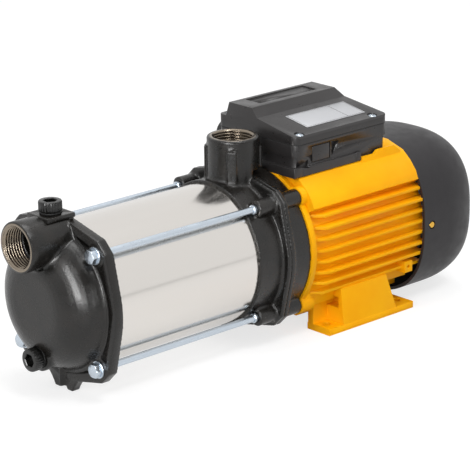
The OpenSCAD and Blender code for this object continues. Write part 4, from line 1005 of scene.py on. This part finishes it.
studio = {
    "floorHalf": 8,
    # What the paper and the room give to the camera, to mirror rays and to soft light
    "paperGlow": 0.72,
    "paperMirror": 0.6,
    "paperFade": (0.35, 1.5),
    "paperColour": 0.33,
    "roomSoft": 0.6,
    "roomMirror": 0.95,
    # Dark side of the room behind the camera, as mirror rays see it
    "darkSide": (-0.62, -0.70, 0.35),
    "darkLevel": 0.12,
    "darkFrom": 0.62,
    "darkTo": 0.9,
}


def mirrorRays(tree):
    # One for camera, mirror and glass rays, nought for soft light
    path = addNode(tree, "ShaderNodeLightPath").outputs
    seen = addNode(tree, "ShaderNodeMath", None, {0: path["Is Camera Ray"], 1: path["Is Glossy Ray"]},
                   operation="MAXIMUM")
    seen = addNode(tree, "ShaderNodeMath", None, {0: seen.outputs[0], 1: path["Is Transmission Ray"]},
                   operation="MAXIMUM")
    return path["Is Camera Ray"], seen.outputs[0]


def addFloor(settings):
    size = settings["floorHalf"]
    mesh = bpy.data.meshes.new("studioFloor")
    corners = [(-size, -size, 0), (size, -size, 0), (size, size, 0), (-size, size, 0)]
    mesh.from_pydata(corners, [], [(0, 1, 2, 3)])
    floor = link("studioFloor", mesh)
    material = bpy.data.materials.new("studioPaper")
    material.use_nodes = True
    tree = material.node_tree
    tree.nodes.clear()
    camera, seen = mirrorRays(tree)
    where = addNode(tree, "ShaderNodeTexCoord").outputs["Object"]
    across = Vector((settings["darkSide"][0], settings["darkSide"][1], 0)).normalized()
    along = addNode(tree, "ShaderNodeVectorMath", {1: across}, {0: where}, operation="DOT_PRODUCT")
    mirror = addNode(tree, "ShaderNodeMapRange",
                     {"From Min": settings["paperFade"][0], "From Max": settings["paperFade"][1],
                      "To Min": settings["paperMirror"], "To Max": settings["darkLevel"]},
                     {"Value": along.outputs["Value"]}, interpolation_type="SMOOTHSTEP")
    level = addNode(tree, "ShaderNodeMapRange", {"To Max": settings["paperGlow"]},
                    {"Value": camera, "To Min": mirror.outputs[0]})
    strength = addNode(tree, "ShaderNodeMath", None, {0: seen, 1: level.outputs[0]}, operation="MULTIPLY")
    glow = addNode(tree, "ShaderNodeEmission", {"Color": (1, 1, 1, 1)}, {"Strength": strength.outputs[0]})
    grey = settings["paperColour"]
    paper = addNode(tree, "ShaderNodeBsdfDiffuse", {"Color": (grey, grey, grey, 1)})
    both = addNode(tree, "ShaderNodeAddShader", None, {0: glow.outputs[0], 1: paper.outputs[0]})
    addNode(tree, "ShaderNodeOutputMaterial", None, {"Surface": both.outputs[0]})
    mesh.materials.append(material)


def addWorld(settings):
    world = bpy.data.worlds.new("studioWorld")
    bpy.context.scene.world = world
    world.use_nodes = True
    tree = world.node_tree
    tree.nodes.clear()
    camera, seen = mirrorRays(tree)
    toward = addNode(tree, "ShaderNodeTexCoord").outputs["Generated"]
    darkWay = Vector(settings["darkSide"]).normalized()
    facing = addNode(tree, "ShaderNodeVectorMath", {1: darkWay}, {0: toward}, operation="DOT_PRODUCT")
    room = addNode(tree, "ShaderNodeMapRange",
                   {"From Min": settings["darkFrom"], "From Max": settings["darkTo"],
                    "To Min": settings["roomMirror"], "To Max": settings["darkLevel"]},
                   {"Value": facing.outputs["Value"]}, interpolation_type="SMOOTHSTEP")
    shown = addNode(tree, "ShaderNodeMapRange", {"To Max": 1}, {"Value": camera, "To Min": room.outputs[0]})
    level = addNode(tree, "ShaderNodeMapRange", {"To Min": settings["roomSoft"]},
                    {"Value": seen, "To Max": shown.outputs[0]})
    back = addNode(tree, "ShaderNodeBackground", {"Color": (1, 1, 1, 1)}, {"Strength": level.outputs[0]})
    addNode(tree, "ShaderNodeOutputWorld", None, {"Surface": back.outputs[0]})


# Places, targets and sizes in metres, power in watts, lean of the lamp about its own aim in degrees
pumpEnd, motorMiddle = (-0.28, -0.04, 0.1), (-0.1, 0, 0.1)
lamps = {
    "keyLamp": {"where": (-0.1, -1.1, 2.0), "target": (-0.1, 0, 0.07), "size": 0.7, "power": 14.5},
    "streakLamp": {"where": (-1.98, -0.8, 1.0), "target": pumpEnd, "size": 0.42, "tall": 1.7, "power": 38,
                   "lean": 32, "soft": False},
    "footLamp": {"where": (-1.86, -1.35, 0.36), "target": pumpEnd, "size": 0.36, "tall": 0.85, "power": 15,
                 "lean": 56, "soft": False},
    "fillLamp": {"where": (-2.0, -0.75, 1.0), "target": pumpEnd, "size": 0.6, "tall": 1.5, "power": 19,
                 "lean": 32, "mirrored": False},
    "sideLamp": {"where": (-0.9, -2.1, 0.5), "target": motorMiddle, "size": 0.25, "tall": 1.0, "power": 5},
    "topLamp": {"where": (0.15, 0.2, 1.9), "target": (0, 0, 0.07), "size": 1.0, "power": 10},
}


def addLamp(name, where, target, size, power, tall=0, lean=0, soft=True, mirrored=True):
    # soft: it lights matt surfaces; mirrored: glossy surfaces show it
    data = bpy.data.lights.new(name, "AREA")
    data.shape, data.size, data.energy = "RECTANGLE" if tall else "DISK", size, power
    data.size_y = tall or size
    lamp = link(name, data)
    lamp.location = where
    aim = (Vector(target) - Vector(where)).to_track_quat("-Z", "Y")
    lamp.rotation_euler = (aim @ Quaternion((0, 0, 1), math.radians(lean))).to_euler()
    lamp.visible_diffuse, lamp.visible_glossy = soft, mirrored


addFloor(studio)
addWorld(studio)
for name, settings in lamps.items():
    addLamp(name, **settings)
print("studio made")
